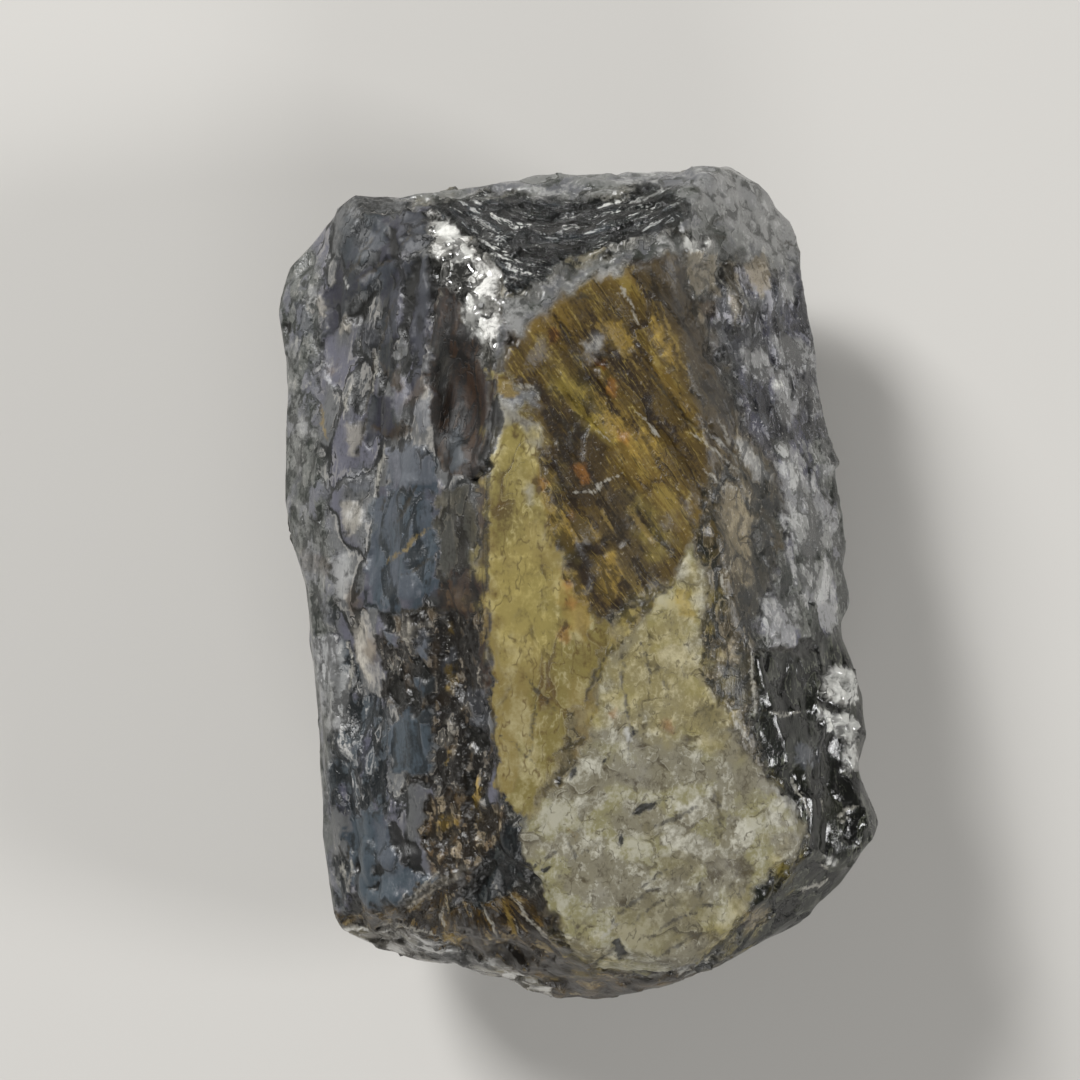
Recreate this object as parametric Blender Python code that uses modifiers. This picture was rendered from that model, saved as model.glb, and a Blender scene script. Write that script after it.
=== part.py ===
"""Rough iolite crystal: one broken prism of gem cordierite, lying on its back.

Units are metres, +Z up. The broad front of the crystal faces up, its long axis
runs along Y and its prism side faces -X. The origin is at the middle of the box
round the crystal, on the flat that it rests on. Lengths in the tables below are
in millimetres and angles in degrees.
"""

import math
import random

import bmesh
import bpy
from mathutils import Matrix, Vector, noise

MM = 0.001
LENGTH = 36.0
WIDTH = 26.0
THICKNESS = 16.6

# Outline of the crystal seen from above, where it is widest, from its upper left corner round by the right
GIRDLE = [
    (-8.6, 16.6), (-6.0, 16.7), (-3.4, 17.4), (4.4, 17.5), (6.5, 18.0), (8.1, 17.2), (9.9, 15.7),
    (11.1, 13.6), (11.0, 12.6), (11.2, 9.2), (11.0, 7.5), (11.9, 2.3), (11.7, 0.6), (12.1, -0.9),
    (11.4, -2.1), (12.2, -4.6), (12.4, -6.4), (12.0, -8.1), (13.0, -10.5), (11.4, -12.8),
    (9.6, -14.8), (6.2, -16.7), (3.2, -17.7), (0.9, -18.0), (-1.4, -17.6), (-3.4, -17.1),
    (-6.2, -16.3), (-8.6, -16.1), (-10.4, -15.1), (-10.8, -12.8), (-11.0, -7.0), (-11.6, -3.0),
    (-11.7, -0.3), (-12.4, 1.4), (-12.8, 4.0), (-12.6, 9.4), (-13.0, 11.8), (-12.5, 13.6),
    (-10.8, 15.3), (-9.3, 16.4),
]
# Height of each ring of the wall, and its size as a share of the outline
RINGS = [(-1.0, 0.80), (3.5, 0.93), (6.5, 0.985), (8.2, 1.0), (10.2, 0.985), (13.0, 0.94), (18.5, 0.86)]
HEART = Vector((0.0, 0.0, 8.0))

# Flat breaks that bound the crystal, each through three of its points
BREAKS = {
    "prism_upper": ((-4.0, 12.0, 16.0), (-4.0, 0.0, 16.5), (-11.9, 6.0, 9.2)),
    "prism_lower": ((-4.0, -1.0, 16.5), (-3.9, -13.0, 15.2), (-11.0, -8.0, 9.4)),
    "window_front": ((-4.0, 8.0, 16.5), (-3.9, -10.0, 16.2), (3.0, 2.0, 16.1)),
    "brown_front": ((-1.0, 12.5, 15.7), (-1.5, 3.0, 16.35), (6.0, 7.0, 15.3)),
    "cream_front": ((4.8, 1.9, 15.8), (-2.3, -10.0, 16.1), (8.8, -11.5, 13.4)),
    "right_bevel": ((6.2, 9.0, 15.3), (7.0, 0.0, 15.2), (11.3, 5.0, 9.5)),
    "right_bevel_low": ((7.2, -4.0, 14.9), (9.9, -10.5, 13.0), (12.2, -6.5, 9.0)),
    "top_bevel": ((-3.4, 12.7, 15.8), (4.9, 14.6, 15.3), (0.0, 17.2, 10.5)),
    "top_left": ((-6.5, 15.6, 13.0), (-10.8, 11.5, 11.0), (-10.6, 15.2, 8.8)),
    "top_right": ((6.0, 15.2, 14.8), (9.0, 11.5, 14.0), (9.8, 15.2, 9.5)),
    "ridge_facet": ((-4.0, 9.4, 16.45), (-6.3, 15.0, 13.6), (-2.8, 14.6, 14.9)),
    "foot_left": ((-4.5, -13.0, 14.6), (-9.5, -13.5, 11.0), (-6.0, -16.0, 9.5)),
    "foot_middle": ((2.0, -15.5, 14.0), (-2.5, -14.5, 14.6), (0.5, -17.7, 9.0)),
    "foot_right": ((9.6, -11.5, 13.2), (4.5, -16.4, 13.0), (10.6, -13.8, 8.8)),
    "back_left": ((-12.2, 8.0, 6.6), (-10.9, -8.0, 6.2), (-8.2, 0.0, 0.6)),
    "back_right": ((10.7, 6.0, 6.4), (12.0, -6.0, 5.9), (8.2, 0.0, 0.6)),
    "back_top": ((-4.0, 16.8, 6.2), (5.0, 17.2, 6.4), (0.5, 13.4, 0.6)),
    "back_foot": ((-4.0, -16.4, 6.0), (5.0, -16.9, 5.8), (0.5, -13.2, 0.7)),
    "back_slope_right": ((8.6, 8.0, 3.0), (1.5, 13.0, 1.5), (4.5, 2.0, -0.2)),
    "back_slope_left": ((-8.8, -9.0, 2.8), (-1.5, -13.4, 1.5), (-4.2, -2.5, -0.2)),
}

# Shell-shaped hollows: centre, radii, and turn about Z
HOLLOWS = {
    "top_bed": ((-0.6, 18.4, 18.4), (7.6, 5.0, 5.6), 8),
    "ridge_pocket": ((-5.1, 7.7, 17.0), (1.35, 3.5, 2.7), 4),
    "prism_high_chip": ((-8.3, 15.6, 15.4), (2.4, 3.2, 2.6), -20),
    "left_rim_dip": ((-15.0, -0.6, 10.5), (3.3, 3.6, 4.2), 0),
    "left_low_dip": ((-12.6, -8.2, 13.4), (1.9, 4.4, 3.4), 5),
    "foot_pocket": ((-4.3, -14.4, 17.4), (4.6, 3.9, 4.1), -30),
    "foot_shell": ((-7.2, -17.6, 13.6), (4.4, 2.6, 4.0), -12),
    "foot_lip": ((1.9, -18.8, 14.6), (5.0, 2.4, 4.4), 8),
    "right_shell_high": ((13.4, 8.0, 14.6), (4.2, 4.6, 4.6), 12),
    "right_shell_mid": ((14.0, -2.2, 13.4), (3.6, 2.3, 5.0), 0),
    "right_shell_low": ((14.6, -7.6, 13.8), (4.2, 2.7, 5.4), -8),
    "right_foot_shell": ((12.6, -14.9, 14.8), (4.6, 3.6, 5.2), 38),
    "top_right_dip": ((10.8, 18.6, 12.6), (3.4, 3.6, 5.0), 30),
    "back_shell": ((5.2, 10.4, -4.2), (6.6, 7.6, 6.0), -20),
    "back_low_shell": ((-7.4, -10.6, -4.0), (5.6, 7.4, 6.0), 16),
    "left_back_shell": ((-14.6, 6.4, 0.6), (4.6, 6.6, 5.2), 6),
    "right_back_shell": ((15.0, -4.8, 0.4), (5.2, 6.8, 5.0), 0),
    "foot_back_shell": ((3.6, -18.4, 0.2), (6.0, 4.4, 4.8), 10),
}

# Thin sheets that split off the breaks. For each break: the plan area that the sheets lie in,
# their direction, how many there are, and their longest length, breadth and depth
SHEETS = {
    "prism_upper": ((-10.6, -6.4, 1.5, 13.0), 86, 7, (8.0, 2.6, 0.60)),
    "prism_lower": ((-10.2, -5.2, -12.5, -1.5), 96, 8, (7.0, 2.4, 0.62)),
    "brown_front": ((0.6, 5.4, 3.0, 10.8), -52, 6, (10.0, 2.2, 0.60)),
    "cream_front": ((1.0, 8.2, -13.5, -3.5), -68, 4, (5.0, 2.4, 0.36)),
    "right_bevel": ((7.4, 10.4, -1.0, 11.0), 80, 7, (5.5, 2.2, 0.75)),
    "right_bevel_low": ((8.8, 11.6, -11.0, -4.0), 100, 4, (5.5, 2.6, 0.75)),
    "top_bevel": ((-5.0, 5.0, 14.4, 16.6), 8, 5, (7.0, 1.6, 0.50)),
    "back_left": ((-11.4, -8.8, -10.0, 10.0), 90, 5, (9.0, 3.2, 0.90)),
    "back_right": ((8.8, 11.0, -10.0, 9.0), 92, 5, (9.0, 3.2, 0.90)),
}
SHEET_GAUGE = 3.0
SHEET_STRAY = 7.0
SHORTEST_SHARE = 0.6
SEED = 12

# Where each kind of relief lies, as its lowest and highest X and Y, and for two of them its heights
WINDOW = ((-3.8, -0.6), (-9.5, 9.5))
CREAM = ((-1.5, 8.0), (-15.0, -2.5))
BROWN = ((-0.8, 6.8), (1.0, 12.4))
FOOT = ((-8.5, 0.5), (-18.5, -11.5), (8.0, 16.0))
# The prism side and the top end are where the surface faces -X or +Y by at least this share
PRISM_FACING = (0.35, 1.0)
PRISM_HEIGHTS = (8.5, 17.0)
TOP_FACING = (0.45, 1.0)
TOP_ACROSS = (-7.0, 5.5)
TOP_HEIGHTS = (10.0, 17.0)
FACING_BLEND = 0.2

# How high each kind of relief is, and the lengths of its features along X, Y and Z
LUMPS = (0.22, (4.6, 6.5, 4.6))
PITS = (0.20, (1.9, 2.6, 1.9))
PLATES = (0.60, (2.6, 13.0, 2.6))
PLATE_LEDGE = 0.28
TREAD_SHARE = 0.7
# The streaks' height and distance, the way that they run, and how far they wander from it
STREAKS = (0.60, 2.2)
STREAK_HEADING = -52.0
SLOPE_SHARE = 0.68
STREAK_DRIFT = (0.5, (2.6, 12.0, 1.0))
# The ripples' height and distance, how steeply they climb along X, and how they waver
RIPPLES = (0.34, 1.05)
RIPPLE_CLIMB = 0.20
WAVER = (0.9, (3.0, 3.0, 3.0))
# The height of the foot's ribs, how many there are to a radian, and the point that they spread from
RIBS = (0.30, 2.6)
RIB_WAVER = 0.5
RIB_SOURCE = (-3.2, -10.5)
# How much smoother the windows and the prism side are than the rest
SMOOTHER = 0.75
CREAM_SMOOTHER = 0.8
FLATTER = 0.6

# The noise that all relief is drawn from: how fast it fades, and how much finer each octave is
NOISE_ROUGHNESS = 0.9
NOISE_STEP = 2.1
NOISE_OCTAVES = 2

# Grain of the mesh while it is shaped, and the share of its faces that is kept
GRAIN = 0.36
KEEP = 0.155


def start_empty():
    """Removes what the file holds, and makes a collection for the crystal and one for its cutters."""
    for obj in list(bpy.data.objects):
        bpy.data.objects.remove(obj)
    made = []
    for name in ("iolite_specimen", "cutters"):
        collection = bpy.data.collections.new(name)
        bpy.context.scene.collection.children.link(collection)
        made.append(collection)
    return made


def mesh_object(name, bm, collection):
    mesh = bpy.data.meshes.new(name)
    bm.to_mesh(mesh)
    bm.free()
    obj = bpy.data.objects.new(name, mesh)
    collection.objects.link(obj)
    return obj


def break_plane(name):
    """A point of the named break, and its direction out of the stone."""
    first, second, third = (Vector(point) for point in BREAKS[name])
    outward = (second - first).cross(third - first).normalized()
    if outward.dot(first - HEART) < 0.0:
        outward.negate()
    return first, outward


def walled_blank(bm):
    """The outline drawn up through its rings, which gives the crystal's uneven wall."""
    top = bm.faces.new([bm.verts.new((x * MM, y * MM, 0.0)) for x, y in GIRDLE])
    height, share = 0.0, 1.0
    for number, (ring_height, ring_share) in enumerate(RINGS):
        if number:
            below = top
            grown = bmesh.ops.extrude_face_region(bm, geom=[below])
            top = next(item for item in grown["geom"] if isinstance(item, bmesh.types.BMFace))
            if number > 1:
                bmesh.ops.delete(bm, geom=[below], context="FACES_ONLY")
        size = ring_share / share
        bmesh.ops.scale(bm, verts=top.verts, vec=(size, size, 1.0))
        bmesh.ops.translate(bm, verts=top.verts, vec=(0.0, 0.0, (ring_height - height) * MM))
        height, share = ring_height, ring_share


def broken_block(collection):
    """The blank cut by each break in turn, which leaves the crystal's flat faces."""
    bm = bmesh.new()
    walled_blank(bm)
    for name in BREAKS:
        point, outward = break_plane(name)
        cut = bmesh.ops.bisect_plane(
            bm,
            geom=bm.verts[:] + bm.edges[:] + bm.faces[:],
            plane_co=point * MM,
            plane_no=outward,
            clear_outer=True,
        )
        edges = [item for item in cut["geom_cut"] if isinstance(item, bmesh.types.BMEdge)]
        bmesh.ops.edgeloop_fill(bm, edges=edges)
    bmesh.ops.recalc_face_normals(bm, faces=bm.faces)
    return mesh_object("iolite_crystal", bm, collection)


def cut_away(obj, cutter):
    cutter.hide_render = True
    cutter.display_type = "WIRE"
    cut = obj.modifiers.new(cutter.name, "BOOLEAN")
    cut.operation = "DIFFERENCE"
    cut.solver = "EXACT"
    cut.object = cutter


def hollow_cutter(name, collection):
    """An egg that leaves the hollow of a shell-shaped break."""
    centre, radii, turn = HOLLOWS[name]
    bm = bmesh.new()
    bmesh.ops.create_icosphere(bm, subdivisions=3, radius=1.0)
    bmesh.ops.scale(bm, verts=bm.verts, vec=Vector(radii) * MM)
    cutter = mesh_object(name, bm, collection)
    cutter.location = Vector(centre) * MM
    cutter.rotation_euler = (0.0, 0.0, math.radians(turn))
    return cutter


def sheet_cutters(name, rng, collection):
    """Boxes laid on a break, each tipped so that one long side leaves a ledge and the other runs out."""
    area, heading, count, longest = SHEETS[name]
    point, outward = break_plane(name)
    left, right, low, high = area
    for number in range(count):
        x, y = rng.uniform(left, right), rng.uniform(low, high)
        run = outward.x * (x - point.x) + outward.y * (y - point.y)
        place = Vector((x, y, point.z - run / outward.z))
        size = [side * rng.uniform(SHORTEST_SHARE, 1.0) for side in longest]
        turn = math.radians(heading + rng.uniform(-SHEET_STRAY, SHEET_STRAY))
        along = Vector((math.cos(turn), math.sin(turn), 0.0))
        along = (along - outward * along.dot(outward)).normalized()
        tip = rng.choice((-1.0, 1.0)) * math.asin(size[2] / size[1])
        bm = bmesh.new()
        bmesh.ops.create_cube(bm, size=1.0)
        bmesh.ops.scale(bm, verts=bm.verts, vec=Vector((size[0], size[1], SHEET_GAUGE)) * MM)
        bmesh.ops.rotate(bm, verts=bm.verts, matrix=Matrix.Rotation(tip, 3, "X"))
        cutter = mesh_object(f"{name}_sheet_{number}", bm, collection)
        axes = Matrix((along, outward.cross(along), outward)).transposed()
        lift = (SHEET_GAUGE - size[2]) / 2.0
        cutter.matrix_world = Matrix.Translation((place + outward * lift) * MM) @ axes.to_4x4()
        yield cutter


def even_grain(obj):
    """Remeshes the cut block into even faces, so that relief can be given to it."""
    grain = obj.modifiers.new("grain", "REMESH")
    grain.mode = "VOXEL"
    grain.voxel_size = GRAIN * MM


def freeze(obj):
    """Gives the object the mesh that its modifiers make."""
    bpy.context.view_layer.update()
    graph = bpy.context.evaluated_depsgraph_get()
    obj.data = bpy.data.meshes.new_from_object(obj.evaluated_get(graph))
    obj.modifiers.clear()


def grain_noise(point, lengths):
    """Fractal noise from about -1 to 1, whose features have these lengths along X, Y and Z."""
    drawn = Vector([c / length for c, length in zip(point, lengths)])
    return noise.fractal(drawn, NOISE_ROUGHNESS, NOISE_STEP, NOISE_OCTAVES)


def within(value, low, high, blend=0.8):
    """1 between low and high, falling to 0 over the blend outside them."""
    inside = min(value - low, high - value) / blend + 1.0
    return max(0.0, min(1.0, inside))


def ledges(value, step):
    """A staircase of flat treads and steep risers that follows the value."""
    tread = math.floor(value / step)
    part = value / step - tread
    riser = max(0.0, min(1.0, (part - TREAD_SHARE) / (1.0 - TREAD_SHARE)))
    return (tread + riser) * step


def saw_wave(phase):
    """A row of long slopes, each of which rises from 0 to 1 and falls back in a short steep ledge."""
    part = phase - math.floor(phase)
    return min(part / SLOPE_SHARE, (1.0 - part) / (1.0 - SLOPE_SHARE))


def ridge_wave(phase):
    """A row of sharp crests, from 0 in the troughs to 1 on the crests."""
    return 1.0 - abs(2.0 * (phase - math.floor(phase)) - 1.0)


def relief(point, normal):
    """How far a point of the surface stands out."""
    x, y, z = point
    up = max(0.0, normal.z)
    prism = within(-normal.x, *PRISM_FACING, FACING_BLEND) * within(z, *PRISM_HEIGHTS, 1.0)
    top = within(normal.y, *TOP_FACING, FACING_BLEND) * within(x, *TOP_ACROSS) * within(z, *TOP_HEIGHTS)
    brown = up * within(x, *BROWN[0]) * within(y, *BROWN[1]) * (1.0 - top)
    smooth = up * within(x, *WINDOW[0]) * within(y, *WINDOW[1])
    cream = up * within(x, *CREAM[0]) * within(y, *CREAM[1])
    foot = within(x, *FOOT[0]) * within(y, *FOOT[1]) * within(z, *FOOT[2])

    lumps = LUMPS[0] * grain_noise(point, LUMPS[1])
    pits = -PITS[0] * abs(grain_noise(point + HEART, PITS[1]))
    plates = ledges(PLATES[0] * grain_noise(point, PLATES[1]), PLATE_LEDGE)
    heading = math.radians(STREAK_HEADING)
    along = x * math.cos(heading) + y * math.sin(heading)
    across = y * math.cos(heading) - x * math.sin(heading)
    drift = grain_noise(Vector((across, along, 0.0)), STREAK_DRIFT[1])
    streaks = STREAKS[0] * (saw_wave(across / STREAKS[1] + STREAK_DRIFT[0] * drift) - 0.5)
    waver = WAVER[0] * grain_noise(point, WAVER[1])
    ripples = RIPPLES[0] * ridge_wave((z - RIPPLE_CLIMB * x) / RIPPLES[1] + waver)
    spread = math.atan2(y - RIB_SOURCE[1], x - RIB_SOURCE[0])
    ribs = RIBS[0] * ridge_wave(spread * RIBS[1] + RIB_WAVER * waver)

    rough = 1.0 - SMOOTHER * max(smooth, CREAM_SMOOTHER * cream, prism)
    height = lumps * (1.0 - FLATTER * smooth) + pits * rough
    return height + prism * plates + brown * streaks + top * ripples + foot * ribs


def weather(obj):
    """Gives the break its lumps, pits, plates, streaks, ripples and ribs."""
    bm = bmesh.new()
    bm.from_mesh(obj.data)
    bm.normal_update()
    moves = [(vert, vert.normal * relief(vert.co / MM, vert.normal) * MM) for vert in bm.verts]
    for vert, move in moves:
        vert.co += move
    bm.to_mesh(obj.data)
    bm.free()


def fit_to_size(obj):
    """Centres the crystal over the origin and gives it its width, length and height above the rest."""
    mesh = obj.data
    low = Vector([min(vert.co[axis] for vert in mesh.vertices) for axis in range(3)])
    high = Vector([max(vert.co[axis] for vert in mesh.vertices) for axis in range(3)])
    middle = (low + high) / 2.0
    scale = Vector((WIDTH * MM / (high.x - low.x), LENGTH * MM / (high.y - low.y), THICKNESS * MM / high.z))
    centre = Matrix.Translation((-middle.x, -middle.y, 0.0))
    mesh.transform(Matrix.Diagonal(scale).to_4x4() @ centre)


def rest_cutter(collection):
    """What lies below the resting flat is cut off."""
    bm = bmesh.new()
    bmesh.ops.create_cube(bm, size=1.0)
    side = 2.0 * LENGTH * MM
    bmesh.ops.scale(bm, verts=bm.verts, vec=(side, side, side))
    cutter = mesh_object("rest_flat", bm, collection)
    cutter.location = (0.0, 0.0, -side / 2.0)
    return cutter


def iolite_material():
    """Translucent grey-blue crystal with a glassy break."""
    material = bpy.data.materials.new("iolite")
    material.use_nodes = True
    shader = material.node_tree.nodes["Principled BSDF"]
    shader.inputs["Base Color"].default_value = (0.16, 0.17, 0.17, 1.0)
    shader.inputs["Roughness"].default_value = 0.22
    shader.inputs["Metallic"].default_value = 0.0
    return material


def main():
    crystal_parts, cutters = start_empty()
    crystal = broken_block(crystal_parts)
    for name in HOLLOWS:
        cut_away(crystal, hollow_cutter(name, cutters))
    rng = random.Random(SEED)
    for name in SHEETS:
        for cutter in sheet_cutters(name, rng, cutters):
            cut_away(crystal, cutter)
    even_grain(crystal)
    freeze(crystal)
    weather(crystal)
    thin = crystal.modifiers.new("fewer_faces", "DECIMATE")
    thin.ratio = KEEP
    freeze(crystal)
    fit_to_size(crystal)
    cut_away(crystal, rest_cutter(cutters))
    crystal.data.materials.append(iolite_material())


main()
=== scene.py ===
import math

import bmesh
import bpy
import numpy as np
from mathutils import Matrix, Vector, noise


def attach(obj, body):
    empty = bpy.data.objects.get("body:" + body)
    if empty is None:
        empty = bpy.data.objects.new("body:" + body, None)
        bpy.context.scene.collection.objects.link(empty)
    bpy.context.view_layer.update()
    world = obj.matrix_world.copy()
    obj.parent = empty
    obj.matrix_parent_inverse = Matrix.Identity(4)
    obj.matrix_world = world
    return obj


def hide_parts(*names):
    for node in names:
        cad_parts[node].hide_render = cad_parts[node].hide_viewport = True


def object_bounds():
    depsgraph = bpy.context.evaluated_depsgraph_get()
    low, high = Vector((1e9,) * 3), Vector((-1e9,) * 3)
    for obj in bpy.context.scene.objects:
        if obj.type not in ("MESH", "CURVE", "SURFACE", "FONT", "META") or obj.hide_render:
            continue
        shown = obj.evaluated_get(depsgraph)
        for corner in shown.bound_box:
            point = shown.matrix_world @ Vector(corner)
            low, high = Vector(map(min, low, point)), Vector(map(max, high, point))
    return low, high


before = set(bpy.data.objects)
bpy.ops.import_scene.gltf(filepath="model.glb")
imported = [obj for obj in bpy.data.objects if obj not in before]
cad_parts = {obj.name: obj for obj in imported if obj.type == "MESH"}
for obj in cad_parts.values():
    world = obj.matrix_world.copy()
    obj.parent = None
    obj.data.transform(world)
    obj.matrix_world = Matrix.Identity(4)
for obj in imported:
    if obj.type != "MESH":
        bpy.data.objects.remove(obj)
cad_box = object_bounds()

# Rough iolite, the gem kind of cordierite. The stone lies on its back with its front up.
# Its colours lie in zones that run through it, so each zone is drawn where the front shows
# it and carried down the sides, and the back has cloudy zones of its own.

MM = 0.001

# The seed that the plates' bends are drawn from, so that each run gives the same stone
SEED = 1
noise.seed_set(SEED)

# The photograph's side in its own pixels, and where the stone lies in it
PHOTO_SIDE = 1080.0
STONE_LENGTH_IN_PHOTO = 832.0
STONE_MIDDLE_IN_PHOTO = (578.0, 583.0)

# The camera: its lens and sensor in mm, a pixel's size on the stone, and where it stands
LENS = 100.0
SENSOR = 36.0
PIXEL = (cad_box[1].y - cad_box[0].y) / STONE_LENGTH_IN_PHOTO
CAMERA_X = (PHOTO_SIDE / 2.0 - STONE_MIDDLE_IN_PHOTO[0]) * PIXEL
CAMERA_Y = (STONE_MIDDLE_IN_PHOTO[1] - PHOTO_SIDE / 2.0) * PIXEL
CAMERA_AWAY = PHOTO_SIDE * PIXEL * LENS / SENSOR
FRAMED_HEIGHT = 8.0 * MM

# The stone's mesh: within what distance the plain solid's corners are one, the grain that it is
# shaped at and how many triangles are kept of it
MERGE_WITHIN = 0.001 * MM
FINE_GRAIN = 0.125 * MM
MOST_TRIANGLES = 192000

# Where triangles are saved: how strongly the back is preferred, between which slopes and which
# heights in mm the front begins, how much less it is thinned, and how far from a mark, in mm,
# nothing is thinned
BACK_PREFERRED = 1.0e-5
FRONT_FACING = (-0.2, 0.2)
FRONT_HEIGHT = (5.0, 8.0)
FRONT_SPARED = 0.85
MARK_SURROUND = 0.25

# Relief: its share where the surface stands upright, how level the surface is where it is whole,
# between which heights in mm it begins at the back, above the rest, and how low it may reach
UPRIGHT_RELIEF = 0.2
LEVEL = 0.5
RELIEF_OFF_REST = (0.175, 1.4)
LOWEST_RELIEF = 0.02


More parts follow.
